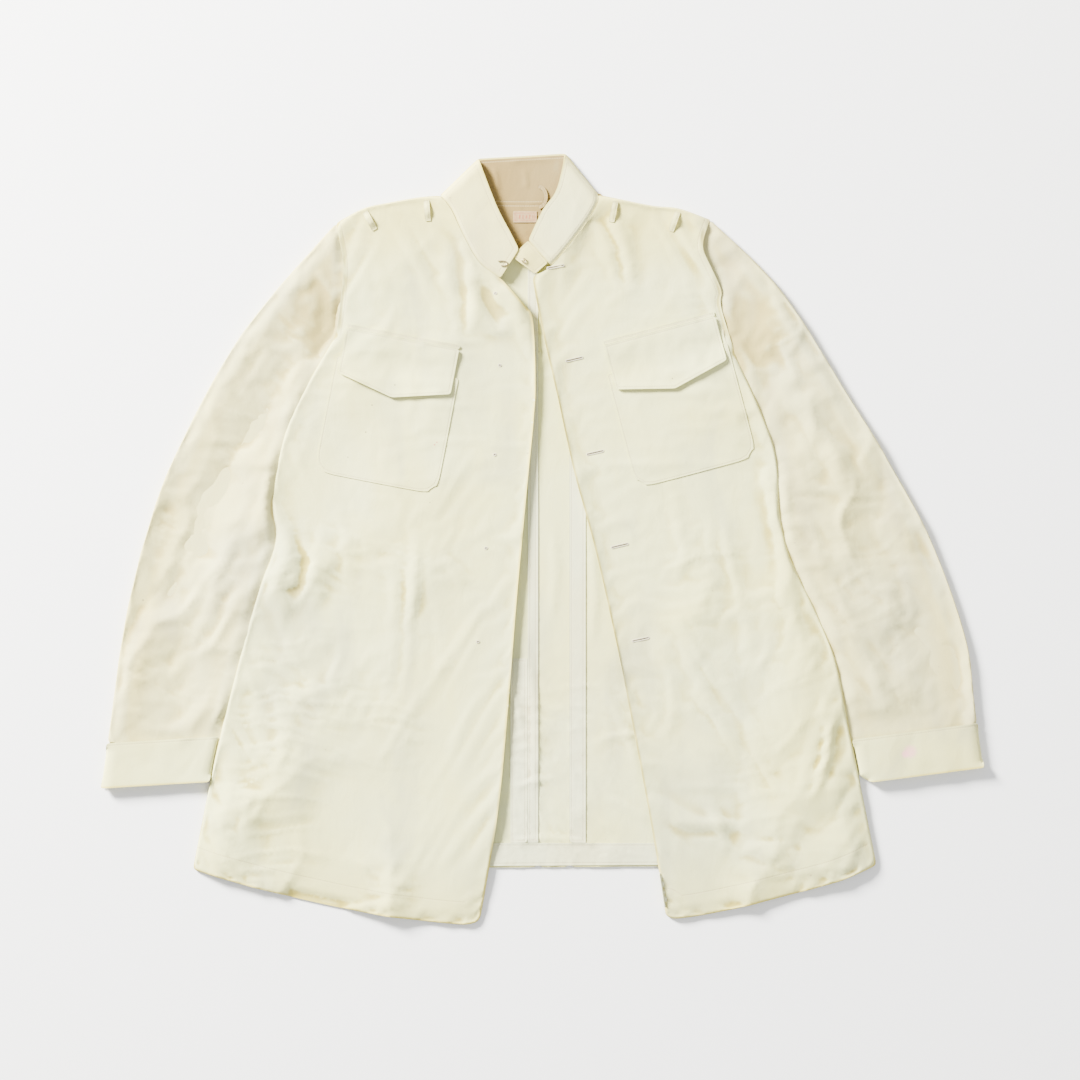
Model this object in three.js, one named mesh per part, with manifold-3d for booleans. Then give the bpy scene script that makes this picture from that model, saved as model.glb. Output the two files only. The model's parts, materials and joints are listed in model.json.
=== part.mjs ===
// A cotton laboratory coat laid flat on its back with the fronts open: back, fronts, hollow sleeves,
// standing band collar, patch pockets with pointed flaps, shoulder loops, buttonholes and eyelets.
// Millimetres. +X is the right-hand side of the coat as seen from the front, +Y is towards the collar,
// +Z is up from the table. Cloth pieces are drawn thick enough to handle.

import * as THREE from "three";
import { mergeVertices } from "three/addons/utils/BufferGeometryUtils.js";
import Module from "manifold-3d";

const wasm = await Module();
wasm.setup();

// ---------------------------------------------------------------- driving dimensions

const bodyLength = 706; // back neck seam to back hem
const shoulderWidth = 394; // shoulder point to shoulder point
const chestWidth = 420; // underarm to underarm
const hemWidth = 721; // side seam to side seam at the back hem
const neckWidth = 167; // neck point to neck point
const neckDrop = 84; // back neck seam down to the front end of the neck seam
const backNeckDip = 6; // how far the back neck seam dips between the neck points
const lean = 15; // how far the laid body leans to the right of the back neck

const sleeveLength = 644; // shoulder point to cuff edge
const sleeveBulge = 62; // how far the outer sleeve edge bows out
const cuffWidth = 118;
const cuffDepth = 47;
const cuffOverrun = 30; // how far the sleeve's hollow runs past the cuff, so that the cuff is open
const armholePassage = 12; // length of the way from the sleeve into the body

const collarHeight = 45;
const collarFrontHeight = 36;
const collarPeakReach = 56; // neck point to the peak of the laid collar
const throatX = 2; // line between the two collar ends
const throatGap = 3;
const throatTabRun = 17; // how far the tab runs left of the right collar's end
const throatTabDrop = 8;
const throatTabClear = 5; // kept off the neck seam, so that the tab swings clear of the top buttonhole
const collarEdge = [0.4, 0.7]; // shares along the neck where the leaf's free edge is shaped

const pocketWidth = 130;
const pocketDepth = 154; // flap seam to the bottom of the pocket
const pocketMouth = 30; // flap seam to the pocket's open edge
const pocketCorner = 18;
const flapInset = 5; // the flap is this much narrower than the pocket at each end
const flapSideDepth = 48;
const flapPointDepth = 63;
const flapSeamWidth = 4;

const facingWidth = 58;
const hemDepth = 28;
const neckFacingDepth = 50;
const neckFacingShoulder = 43; // its depth half-way to each neck point
const tapeWidth = 11;
const felledWidth = 17;
const ventWidth = 18;
const ventLength = 194;
const centreSeamOffset = 3; // centre seam, right of the body's centre line
const centrePanelWidth = 33;

const buttonholeLength = 20;
const buttonholeWidth = 4;
const buttonholeSlit = 1;
const buttonSpacing = 98;
const firstButton = 77; // below the back neck seam
const foldRow = 1.56; // the front corner's fold starts this many button spacings below the first button
const foldSlope = 0.545; // sideways run of that fold for each millimetre down
const foldFoot = 1.04; // how far down the fold runs, in body lengths
const buttonInset = 26; // from the right front edge
const eyeletInset = 37; // from the left front edge
const eyeletRadius = 3;
const eyeletHole = 1.2;
const topEyelet = [-27, -100];

const shoulderLoopWidth = 6;
const shoulderLoopSpan = 22;
const shoulderLoopPlaces = { inner: 100, outer: 166 }; // from the middle of the neck
const shoulderLoopInset = 4; // from the shoulder line

const labelWidth = 25;
const labelHeight = 12;
const labelX = 4;
const labelDrop = 19;
const labelThickness = 0.6;
const hangerLoopSpan = 22;
const hangerLoopReach = 8;
const hangerLoopWidth = 4;
const hangerLoopX = 18;
const hangerLoopY = 2;
const wireRadius = 0.6;
const hookLength = 8;
// The hook's wire, in hook lengths.
const hookBend = [[-1, 0.3], [-0.2, 0.3], [0.15, 0.15], [0.15, -0.15], [-0.2, -0.3], [-0.6, -0.3]];
const eyePlace = 0.35; // share of the way down the tab's free side
const wireSides = 8;
const wireSteps = 16;

const cloth = 1.5; // body cloth
const lining = 1; // facings, tapes and linings
const gap = 0.3; // between pieces that touch
const seamGap = 0.15; // half the gap along a cut line
const torsoSpace = 7.2; // between the back and the fronts
const pocketSpace = 5;
const loopSpace = 4.6;

// ---------------------------------------------------------------- heights

const innerLow = cloth + gap; // tapes and facings on the inside of the back
const innerHigh = innerLow + lining;
const trimLow = innerHigh + gap; // label and hanger loop
const frontLow = cloth + torsoSpace;
const frontHigh = frontLow + cloth;
const facingHigh = frontLow - gap;
const facingLow = facingHigh - lining;
const patchLow = frontHigh + gap; // what lies on the fronts
const pocketLow = patchLow + pocketSpace;
const pocketHigh = pocketLow + cloth;
const flapLow = pocketHigh + gap;
const flapHigh = flapLow + cloth;

// ---------------------------------------------------------------- colours

const cottonColour = 0xe9e4cf;
const agedCottonColour = 0xded2a8;
const tapeColour = 0xe4e0d0;
const threadColour = 0xb59a68;
const labelColour = 0xd9c7a4;
const brassColour = 0x8a7a55;
const brassMetalness = 0.8;
const brassRoughness = 0.4;
const clothRoughness = 0.9;

// ---------------------------------------------------------------- solids

function solidOf(geometry) {
  const bare = new THREE.BufferGeometry();
  bare.setAttribute("position", geometry.getAttribute("position"));
  if (geometry.index) bare.setIndex(geometry.index);
  const merged = mergeVertices(bare, 1e-4);
  return new wasm.Manifold(
    new wasm.Mesh({
      numProp: 3,
      vertProperties: merged.attributes.position.array,
      triVerts: new Uint32Array(merged.index.array),
    }),
  );
}

// An upright solid on a closed outline of [x, y] points.
function prism(outline, low, high) {
  const shape = new THREE.Shape(outline.map(([x, y]) => new THREE.Vector2(x, y)));
  const geometry = new THREE.ExtrudeGeometry(shape, { depth: high - low, bevelEnabled: false });
  return solidOf(geometry.translate(0, 0, low));
}

function block(x0, x1, y0, y1, z0, z1) {
  return prism([[x0, y0], [x1, y0], [x1, y1], [x0, y1]], z0, z1);
}

const root = new THREE.Group();

function piece(name, solid, colour, metalness = 0) {
  const made = solid.getMesh();
  const indexed = new THREE.BufferGeometry();
  indexed.setAttribute("position", new THREE.BufferAttribute(made.vertProperties, 3));
  indexed.setIndex(new THREE.BufferAttribute(made.triVerts, 1));
  const geometry = indexed.toNonIndexed();
  geometry.computeVertexNormals();
  const roughness = metalness ? brassRoughness : clothRoughness;
  const material = new THREE.MeshStandardMaterial({ color: colour, roughness, metalness });
  const mesh = new THREE.Mesh(geometry, material);
  mesh.name = name;
  root.add(mesh);
}

// ---------------------------------------------------------------- outlines

const samePoint = 0.01; // points closer than this are one
const sharpest = 0.5; // keeps a mitre short at a sharp corner

function smooth(points, stepsPerSpan = 3) {
  const curve = new THREE.SplineCurve(points.map(([x, y]) => new THREE.Vector2(x, y)));
  return curve.getPoints(stepsPerSpan * (points.length - 1)).map((p) => [p.x, p.y]);
}

function signedArea(outline) {
  return outline.reduce((sum, [x, y], i) => {
    const [nextX, nextY] = outline[(i + 1) % outline.length];
    return sum + (x * nextY - nextX * y) / 2;
  }, 0);
}

// Unit vector to the left of the way from a to b.
function leftOf(a, b) {
  const length = Math.hypot(b[0] - a[0], b[1] - a[1]);
  return [(a[1] - b[1]) / length, (b[0] - a[0]) / length];
}

// Moves a point off the two directions that meet at it, to the left of travel.
function mitre(before, at, after, distance) {
  const n1 = leftOf(before, at);
  const n2 = leftOf(at, after);
  const shared = Math.max(1 + n1[0] * n2[0] + n1[1] * n2[1], sharpest);
  return [0, 1].map((k) => at[k] + (distance * (n1[k] + n2[k])) / shared);
}

function withoutRepeats(points) {
  return points.filter(([x, y], i) => {
    const [lastX, lastY] = points[(i + points.length - 1) % points.length];
    return Math.hypot(x - lastX, y - lastY) > samePoint;
  });
}

// A closed outline grown outwards, or shrunk by a negative distance.
function grow(outline, distance) {
  const points = withoutRepeats(outline);
  const outwards = signedArea(points) > 0 ? -distance : distance;
  const count = points.length;
  return points.map((at, i) =>
    mitre(points[(i + count - 1) % count], at, points[(i + 1) % count], outwards),
  );
}

// An open line moved to its left.
function shift(line, distance) {
  const last = line.length - 1;
  const ahead = (a, b) => [2 * b[0] - a[0], 2 * b[1] - a[1]];
  return line.map((at, i) => {
    const before = i === 0 ? ahead(line[1], at) : line[i - 1];
    const after = i === last ? ahead(line[last - 1], at) : line[i + 1];
    return mitre(before, at, after, distance);
  });
}

// The strip between two distances from an open line, measured to its left.
function band(line, from, to) {
  return [...shift(line, from), ...shift(line, to).reverse()];
}

// The point a share of the way along a polyline.
function along(line, share) {
  const place = share * (line.length - 1);
  const i = Math.min(Math.floor(place), line.length - 2);
  const t = place - i;
  return [0, 1].map((k) => line[i][k] * (1 - t) + line[i + 1][k] * t);
}

// Turns local [across, down] values into places: the frame's top middle is at, tilted by angle.
function tilted(at, angle, points) {
  const [c, s] = [Math.cos(angle), Math.sin(angle)];
  return points.map(([x, down]) => [at[0] + x * c + down * s, at[1] + x * s - down * c]);
}

// ---------------------------------------------------------------- how the coat lies

// Half the body's width at a share of the body's length below the back neck.
const chestLevel = 0.22;
const shoulderLevel = 0.033;

function halfWidth(down) {
  if (down < chestLevel) {
    const share = (down - shoulderLevel) / (chestLevel - shoulderLevel);
    return (shoulderWidth + share * (chestWidth - shoulderWidth)) / 2;
  }
  const share = (down - chestLevel) / (1 - chestLevel);
  return (chestWidth + share * (hemWidth - chestWidth)) / 2;
}

function centreLine(down) {
  return lean * Math.min(Math.max(down / chestLevel, 0), 1);
}

// A place on the body: across is 0 on the centre line and 1 at the side seam, down is 1 at the back hem.
function spot(side, [across, down]) {
  return [centreLine(down) + side * across * halfWidth(down), -down * bodyLength];
}

// A place on the neck seam: across is 1 at the neck point, down is 1 at the collar's front end.
function neckSpot(side, [across, down]) {
  return [(side * across * neckWidth) / 2, -down * neckDrop];
}

const lie = {
  left: {
    side: -1,
    neck: [[1.02, -0.04], [0.88, 0.14], [0.74, 0.44], [0.53, 0.8], [0.26, 1]],
    shoulder: [[0.56, -0.002], [0.72, 0.006], [0.85, 0.014], [1, 0.036]],
    armhole: [[1, 0.036], [0.96, 0.1], [0.985, 0.18], [1, 0.204]],
    sideSeam: [[1, 0.204], [1.08, 0.27], [1.12, 0.35], [1.09, 0.45], [1.03, 0.51], [1.04, 0.6], [1.03, 0.8],
      [1, 1]],
    hem: [[1, 1], [0.8, 1.028], [0.54, 1.058], [0.35, 1.074], [0.19, 1.082], [0.155, 1.072]],
    frontEdge: [[0.02, 0.165], [0, 0.183], [0, 0.29], [0.03, 0.41], [0.07, 0.6], [0.11, 0.89],
      [0.155, 1.072]],
    sleeveAngle: 0.394,
    sleeveEdge: [[0, 0], [0.22, 0.74], [0.43, 1], [0.57, 0.97], [0.73, 0.72], [0.9, 0.27], [1, 0]],
    cuffTilt: 0.06,
    collarPeakAngle: 0.8,
    collarEnd: 1,
    pocket: [0.66, 0.209],
    pocketTilt: -0.19,
  },
  right: {
    side: 1,
    neck: [[0.98, -0.05], [0.95, 0.1], [0.74, 0.42], [0.38, 0.85], [0.16, 0.97]],
    shoulder: [[0.7, 0.01], [0.84, 0.014], [1, 0.031]],
    armhole: [[1, 0.031], [0.93, 0.07], [0.95, 0.1], [0.985, 0.138], [0.965, 0.16], [0.99, 0.232]],
    sideSeam: [[0.99, 0.232], [1.05, 0.37], [0.99, 0.51], [1.05, 0.67], [1.03, 0.8], [1, 0.993]],
    hem: [[1, 0.993], [0.88, 1.017], [0.71, 1.04], [0.53, 1.062], [0.385, 1.074], [0.367, 1.062]],
    frontEdge: [[0.02, 0.122], [0.044, 0.198], [0.107, 0.3], [0.167, 0.41], [0.232, 0.517], [0.297, 0.69],
      [0.35, 0.93], [0.367, 1.062]],
    sleeveAngle: 0.463,
    sleeveEdge: [[0, 0], [0.15, 0.53], [0.34, 0.75], [0.48, 0.88], [0.6, 0.93], [0.7, 0.86], [0.81, 0.68],
      [0.9, 0.35], [1, 0]],
    cuffTilt: -0.13,
    collarPeakAngle: 0.68,
    collarEnd: 0.75,
    pocket: [0.634, 0.197],
    pocketTilt: 0.26,
  },
};

function linesOf(how) {
  const place = (points) => points.map((p) => spot(how.side, p));
  const neck = smooth(how.neck.map((p) => neckSpot(how.side, p)));
  return {
    neck,
    shoulder: [neck[0], ...place(how.shoulder)],
    armhole: smooth(place(how.armhole)),
    sideSeam: smooth(place(how.sideSeam)),
    hem: smooth(place(how.hem), 2),
    frontEdge: smooth(place(how.frontEdge), 2),
  };
}

// The line that a lower front corner turns back on, from the front edge to past the hem.
function foldOf(name) {
  const top = onFront(name, -firstButton - foldRow * buttonSpacing, 0).at;
  const drop = foldFoot * bodyLength + top[1];
  return [top, [top[0] + lie[name].side * foldSlope * drop, top[1] - drop]];
}

const lines = { left: linesOf(lie.left), right: linesOf(lie.right) };

function toHem({ shoulder, armhole, sideSeam }) {
  return [...shoulder, ...armhole.slice(1), ...sideSeam.slice(1)];
}

const backNeck = smooth([
  lines.right.neck[0],
  [neckWidth / 4, -backNeckDip],
  [-neckWidth / 4, -backNeckDip],
  lines.left.neck[0],
]);
const backOutline = [...toHem(lines.left), ...toHem(lines.right).reverse(), ...backNeck.slice(1, -1)];

function frontOutline(name) {
  const { neck, hem, frontEdge } = lines[name];
  const upFront = [...frontEdge.slice(0, -1).reverse(), ...neck.slice(1).reverse()];
  return [...toHem(lines[name]), ...hem.slice(1), ...upFront];
}

// ---------------------------------------------------------------- back

const far = 2000; // reaches past the coat on every side
const hemTop = hemDepth - bodyLength;
const seamX = lean + centreSeamOffset;
const felledX = seamX + centrePanelWidth;
const backInside = prism(grow(backOutline, -(cloth + gap)), innerLow, innerHigh);
const backCloth = prism(backOutline, 0, cloth);

function backSlice(solid, x0, x1) {
  return solid.intersect(block(x0 + seamGap, x1 - seamGap, -far, far, -far, far));
}

function strip(x0, x1, y0, y1) {
  return backInside.intersect(block(x0, x1, y0, y1, -far, far));
}

function makeBack() {
  piece("back_left_panel", backSlice(backCloth, -far, seamX), cottonColour);
  piece("back_centre_panel", backSlice(backCloth, seamX, felledX), cottonColour);
  piece("back_right_panel", backSlice(backCloth, felledX, far), cottonColour);
  const tapeTop = -neckFacingDepth - gap;
  const tapeFoot = hemTop + gap;
  piece("neck_facing", backInside.intersect(prism(neckFacingOutline(), -far, far)), agedCottonColour);
  piece("centre_seam_tape", strip(seamX - tapeWidth, seamX, tapeFoot, tapeTop), tapeColour);
  piece("felled_seam_tape", strip(felledX, felledX + felledWidth, tapeFoot, tapeTop), tapeColour);
  const ventRight = seamX - tapeWidth - gap;
  const vent = strip(ventRight - ventWidth, ventRight, tapeFoot, tapeFoot + ventLength);
  piece("vent_facing", vent, tapeColour);
  piece("back_hem_facing", strip(-far, far, -far, hemTop), cottonColour);
}

// The neck facing hangs from the back neck seam in a shallow curve.
function neckFacingOutline() {
  const half = neckWidth / 2;
  const curve = [
    [-half, 0],
    [-half / 2, -neckFacingShoulder],
    [0, -neckFacingDepth],
    [half / 2, -neckFacingShoulder],
    [half, 0],
  ];
  return [...smooth(curve), [half, neckFacingDepth], [-half, neckFacingDepth]];
}

// ---------------------------------------------------------------- fronts

// All that lies on the opening's side of the fold line, kept clear of the line by a distance.
function cornerSide(name, clear) {
  const { side } = lie[name];
  const [top, foot] = foldOf(name);
  const [dx, dy] = [foot[0] - top[0], foot[1] - top[1]];
  const length = Math.hypot(dx, dy);
  const way = [dx / length, dy / length];
  const inwards = [side * way[1], -side * way[0]];
  const at = (a, b) => [0, 1].map((k) => top[k] + way[k] * a + inwards[k] * b);
  return [at(-far, clear), at(far, clear), at(far, far), at(-far, far)];
}

function frontPlate(name) {
  const { side } = lie[name];
  const { shoulder, sideSeam } = lines[name];
  const wall = (line) => prism(band(line, 0, -side * cloth), innerLow, frontHigh);
  const plate = prism(frontOutline(name), frontLow, frontHigh);
  return plate.add(wall(shoulder)).add(wall(sideSeam));
}

function makeFront(name) {
  const { side } = lie[name];
  const { frontEdge } = lines[name];
  const corner = prism(cornerSide(name, seamGap), -far, far);
  const rest = prism(cornerSide(name, -seamGap), -far, far);
  const whole = frontPlate(name).subtract(slits(name));
  piece(name + "_front", whole.subtract(rest), cottonColour);
  piece(name + "_front_skirt", whole.intersect(corner), cottonColour);
  const facing = prism(band(frontEdge, 0, side * facingWidth), facingLow, facingHigh)
    .intersect(prism(frontOutline(name), -far, far))
    .subtract(slits(name));
  piece(name + "_upper_facing", facing.subtract(rest), tapeColour);
  piece(name + "_lower_facing", facing.intersect(corner), tapeColour);
}

// ---------------------------------------------------------------- buttonholes and eyelets

// The place a distance in from a front edge at a height, with the angle of the line across the edge.
function onFront(name, y, inset) {
  const { side } = lie[name];
  const { frontEdge } = lines[name];
  const found = frontEdge.findIndex((p) => p[1] < y);
  const i = Math.max(found, 1);
  const [a, b] = [frontEdge[i - 1], frontEdge[i]];
  const t = (y - a[1]) / (b[1] - a[1]);
  const [nx, ny] = leftOf(a, b);
  const at = [a[0] + t * (b[0] - a[0]) + side * inset * nx, y + side * inset * ny];
  return { at, angle: Math.atan2(ny, nx) };
}

function stadium({ at, angle }, length, width) {
  const ends = [-1, 1].flatMap((end) =>
    [-2, -1, 0, 1, 2].map((k) => {
      const turn = (k * Math.PI) / 4;
      const reach = (length - width) / 2 + (width / 2) * Math.cos(turn);
      return [end * reach, (-end * width * Math.sin(turn)) / 2];
    }),
  );
  return tilted(at, angle, ends);
}

const rows = [0, 1, 2, 3, 4].map((i) => -firstButton - i * buttonSpacing);
const buttonholes = rows.map((y) => onFront("right", y, buttonInset));
const eyelets = [{ at: topEyelet, angle: 0 }, ...rows.slice(1).map((y) => onFront("left", y, eyeletInset))];

function slit(place) {
  return prism(stadium(place, buttonholeLength - buttonholeWidth, buttonholeSlit), -far, far);
}

function nearlyRound(place, radius) {
  return stadium(place, 2 * radius + seamGap, 2 * radius);
}

function eyeletBore(place) {
  return prism(nearlyRound(place, eyeletHole), -far, far);
}

function slits(name) {
  const holes = name === "right" ? buttonholes.map(slit) : eyelets.map(eyeletBore);
  return holes.reduce((all, hole) => all.add(hole));
}

function makeButtonholes() {
  const patch = (outline) => prism(outline, patchLow, patchLow + lining);
  buttonholes.forEach((place, i) => {
    const ring = patch(stadium(place, buttonholeLength, buttonholeWidth));
    piece("buttonhole_" + (i + 1), ring.subtract(slit(place)), threadColour);
  });
  eyelets.forEach((place, i) => {
    const ring = patch(nearlyRound(place, eyeletRadius));
    piece("button_eyelet_" + (i + 1), ring.subtract(eyeletBore(place)), threadColour);
  });
}

// ---------------------------------------------------------------- sleeves

const underBody = [[0.6, 0.75], [0.6, 0.1]]; // places on the body that each sleeve's outline runs in under

function sleeveShape(name, overrun) {
  const { side, sleeveAngle, sleeveEdge, cuffTilt } = lie[name];
  const { armhole } = lines[name];
  const [way, out] = [
    [side * Math.sin(sleeveAngle), -Math.cos(sleeveAngle)],
    [side * Math.cos(sleeveAngle), Math.sin(sleeveAngle)],
  ];
  const at = (share, bow) => [0, 1].map(
    (k) => armhole[0][k] + way[k] * share * sleeveLength + out[k] * bow * sleeveBulge,
  );
  const edge = smooth(sleeveEdge.map(([share, bow]) => at(share, bow)));
  const cuffWay = [-side * Math.cos(cuffTilt), Math.sin(cuffTilt)];
  const outer = edge[edge.length - 1];
  const inner = [0, 1].map((k) => outer[k] + cuffWay[k] * (cuffWidth + cloth));
  const past = (p) => [p[0], p[1] - overrun];
  const inBody = underBody.map((place) => spot(side, place));
  return { edge, outer, inner, outline: [...edge, past(outer), past(inner), ...inBody] };
}

function cuffRegion({ outer, inner }, side, depth) {
  const line = [0, 1].map((end) => [0, 1].map((k) => (end ? inner[k] : outer[k])));
  const [nx, ny] = leftOf(line[0], line[1]).map((n) => -side * n);
  const [dx, dy] = [0, 1].map((k) => (inner[k] - outer[k]) / cuffWidth);
  const wide = [
    [outer[0] - dx * cuffWidth, outer[1] - dy * cuffWidth],
    [inner[0] + dx * cuffWidth, inner[1] + dy * cuffWidth],
  ];
  const back = wide.map(([x, y]) => [x - nx * cuffWidth, y - ny * cuffWidth]);
  const front = wide.map(([x, y]) => [x + nx * depth, y + ny * depth]);
  return prism([...front, ...back.reverse()], -far, far);
}

function makeSleeve(name) {
  const { side } = lie[name];
  const shape = sleeveShape(name, 0);
  const body = prism(grow(backOutline, gap), -far, far);
  const bodyAndWall = prism(grow(backOutline, gap + cloth), -far, far);
  const outerWall = prism(band(shape.edge, side * cloth, -side * cloth), -far, far);
  const armhole = lines[name].armhole.slice(2, -2);
  const passage = prism(band(armhole, armholePassage / 2, -armholePassage / 2), cloth, frontLow);
  const hollow = prism(sleeveShape(name, cuffOverrun).outline, cloth, frontLow)
    .subtract(bodyAndWall)
    .subtract(outerWall)
    .add(passage);
  const tube = prism(shape.outline, 0, frontHigh).subtract(body).subtract(hollow);
  const arm = tube.subtract(cuffRegion(shape, side, cuffDepth + gap));
  const layer = (low, high) => arm.intersect(block(-far, far, -far, far, low, high));
  piece(name + "_sleeve_under", layer(-far, cloth), cottonColour);
  piece(name + "_sleeve_top", layer(innerLow, far), cottonColour);
  piece(name + "_cuff", tube.intersect(cuffRegion(shape, side, cuffDepth)), cottonColour);
}

// ---------------------------------------------------------------- collar

function collarPoints(name) {
  const { side, collarPeakAngle, collarEnd } = lie[name];
  const { neck } = lines[name];
  const neckPoint = neck[0];
  const peak = [
    neckPoint[0] - side * collarPeakReach * Math.sin(collarPeakAngle),
    neckPoint[1] + collarPeakReach * Math.cos(collarPeakAngle),
  ];
  const free = shift(neck, -side * collarHeight);
  const tip = along(shift(neck, -side * collarFrontHeight), collarEnd);
  return { neckPoint, peak, tip, seamEnd: along(neck, collarEnd), free };
}

const collarSides = { left: collarPoints("left"), right: collarPoints("right") };

function leafOutline(name) {
  const { peak, tip, seamEnd, free } = collarSides[name];
  const { collarEnd } = lie[name];
  const { neck } = lines[name];
  const last = Math.round(collarEnd * (neck.length - 1));
  const shaped = collarEdge.map((share) => along(free, share * collarEnd));
  return [...smooth([peak, ...shaped, tip]), seamEnd, ...neck.slice(0, last).reverse()];
}

function halfSpace(name) {
  const reach = throatX + (lie[name].side * throatGap) / 2;
  const x = name === "left" ? [-far, reach] : [reach, far];
  return block(...x, -far, far, -far, far);
}

function makeCollar() {
  const { left, right } = collarSides;
  const outline = [left.neckPoint, left.peak, right.peak, right.neckPoint, ...backNeck.slice(1, -1)];
  const body = prism(grow(backOutline, gap), -far, far);
  const walls = [
    band([left.neckPoint, left.peak], 0, -cloth),
    band([right.neckPoint, right.peak], 0, cloth),
  ];
  const back = walls.reduce(
    (all, wall) => all.add(prism(wall, 0, facingHigh)),
    prism(outline, 0, cloth),
  );
  piece("collar_back", back.subtract(body), cottonColour);
  const lined = grow(outline, -(cloth + gap));
  piece("collar_lining", prism(lined, innerLow, innerHigh), agedCottonColour);
  ["left", "right"].forEach((name) => {
    const leaf = prism(leafOutline(name), frontLow, frontHigh)
      .subtract(prism(grow(frontOutline(name), gap), -far, far))
      .intersect(halfSpace(name));
    piece(name + "_collar_leaf", leaf, cottonColour);
  });
  makeThroat();
}

// The diamond tab behind the right collar end, and the wire hook and eye.
function makeThroat() {
  const { left, right } = collarSides;
  const between = (a, b, share) => [0, 1].map((k) => a[k] + share * (b[k] - a[k]));
  const tabTop = between(right.seamEnd, right.tip, throatTabClear / collarFrontHeight);
  const tabLeft = [right.tip[0] - throatTabRun, right.tip[1] - throatTabRun];
  const tabFoot = [right.seamEnd[0] - throatTabRun, right.seamEnd[1] - throatTabDrop];
  const neighbours = [
    grow(leafOutline("left"), gap),
    grow(leafOutline("right"), gap),
    grow(frontOutline("left"), gap),
    grow(frontOutline("right"), gap),
  ];
  const tab = neighbours.reduce(
    (all, outline) => all.subtract(prism(outline, -far, far)),
    prism([right.tip, tabLeft, tabFoot, tabTop], frontLow, frontHigh),
  );
  piece("throat_tab", tab, cottonColour);
  const wireLevel = patchLow + wireRadius;
  const eye = new THREE.TorusGeometry(hookLength / 4, wireRadius, wireSides, wireSteps);
  const eyeAt = between(tabLeft, tabFoot, eyePlace);
  eye.translate(eyeAt[0] + hookLength / 2, eyeAt[1] + hookLength / 4, wireLevel);
  piece("collar_eye", solidOf(eye), brassColour, brassMetalness);
  const hookAt = between(left.tip, left.seamEnd, 0.5);
  const route = hookBend.map(
    ([x, y]) => new THREE.Vector3(hookAt[0] + (x - 0.5) * hookLength, hookAt[1] + y * hookLength, wireLevel),
  );
  const round = new THREE.Shape().absarc(0, 0, wireRadius, 0, 2 * Math.PI);
  const hook = new THREE.ExtrudeGeometry(round, {
    extrudePath: new THREE.CatmullRomCurve3(route),
    steps: wireSteps,
    curveSegments: wireSides,
  });
  piece("collar_hook", solidOf(hook), brassColour, brassMetalness);
}

function makeNeckTrim() {
  const label = block(
    labelX - labelWidth / 2,
    labelX + labelWidth / 2,
    -labelDrop - labelHeight / 2,
    -labelDrop + labelHeight / 2,
    trimLow,
    trimLow + labelThickness,
  );
  piece("neck_label", label, labelColour);
  const turns = [0, 1, 2, 3, 4, 5, 6, 7, 8].map((k) => (k * Math.PI) / 8);
  const arch = turns.map((t) => [
    hangerLoopX + hangerLoopReach * Math.sin(t),
    hangerLoopY + (hangerLoopSpan / 2) * Math.cos(t),
  ]);
  const half = hangerLoopWidth / 2;
  piece("hanger_loop", prism(band(arch, half, -half), trimLow, trimLow + lining), tapeColour);
}

// ---------------------------------------------------------------- pockets

function bagOutline(half, top, foot, radius) {
  const quarter = [0, 1, 2, 3].map((k) => (k * Math.PI) / 6);
  const corner = quarter.map((t) => [
    half - radius + radius * Math.cos(t),
    foot - radius + radius * Math.sin(t),
  ]);
  const mirrored = corner.map(([x, down]) => [-x, down]).reverse();
  return [[half, top], ...corner, ...mirrored, [-half, top]];
}

function makePocket(name) {
  const { side, pocket, pocketTilt } = lie[name];
  const place = (points) => tilted(spot(side, pocket), pocketTilt, points);
  const half = pocketWidth / 2;
  const bag = prism(place(bagOutline(half, pocketMouth, pocketDepth, pocketCorner)), patchLow, pocketHigh);
  const room = bagOutline(half - cloth, pocketMouth - cloth, pocketDepth - cloth, pocketCorner - cloth);
  piece(name + "_pocket", bag.subtract(prism(place(room), -far, pocketLow)), cottonColour);
  const wide = pocketWidth / 2 - flapInset;
  const flap = [[-wide, 0], [wide, 0], [wide, flapSideDepth], [0, flapPointDepth], [-wide, flapSideDepth]];
  piece(name + "_pocket_flap", prism(place(flap), flapLow, flapHigh), cottonColour);
  const seam = [[-wide, -gap - flapSeamWidth], [wide, -gap - flapSeamWidth], [wide, -gap], [-wide, -gap]];
  piece(name + "_flap_seam", prism(place(seam), patchLow, flapHigh), cottonColour);
}

// ---------------------------------------------------------------- shoulder loops

function makeShoulderLoop(name, which) {
  const { side } = lie[name];
  const { shoulder } = lines[name];
  const x = side * shoulderLoopPlaces[which];
  const i = shoulder.findIndex((p) => side * p[0] > side * x);
  const [a, b] = [shoulder[i - 1], shoulder[i]];
  const slope = (b[1] - a[1]) / (b[0] - a[0]);
  const at = [x, a[1] + slope * (x - a[0])];
  const wide = shoulderLoopWidth / 2;
  const [top, foot] = [shoulderLoopInset, shoulderLoopInset + shoulderLoopSpan];
  const frame = (w, t, f) => tilted(at, Math.atan(slope), [[-w, t], [w, t], [w, f], [-w, f]]);
  const arch = prism(frame(wide, top, foot), patchLow, patchLow + loopSpace + lining);
  const passage = prism(frame(2 * wide, top + lining, foot - lining), -far, patchLow + loopSpace);
  piece(name + "_" + which + "_shoulder_loop", arch.subtract(passage), cottonColour);
}

// ---------------------------------------------------------------- the coat

makeBack();
["left", "right"].forEach((name) => {
  makeFront(name);
  makeSleeve(name);
  makePocket(name);
  Object.keys(shoulderLoopPlaces).forEach((which) => makeShoulderLoop(name, which));
});
makeCollar();
makeNeckTrim();
makeButtonholes();

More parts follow.
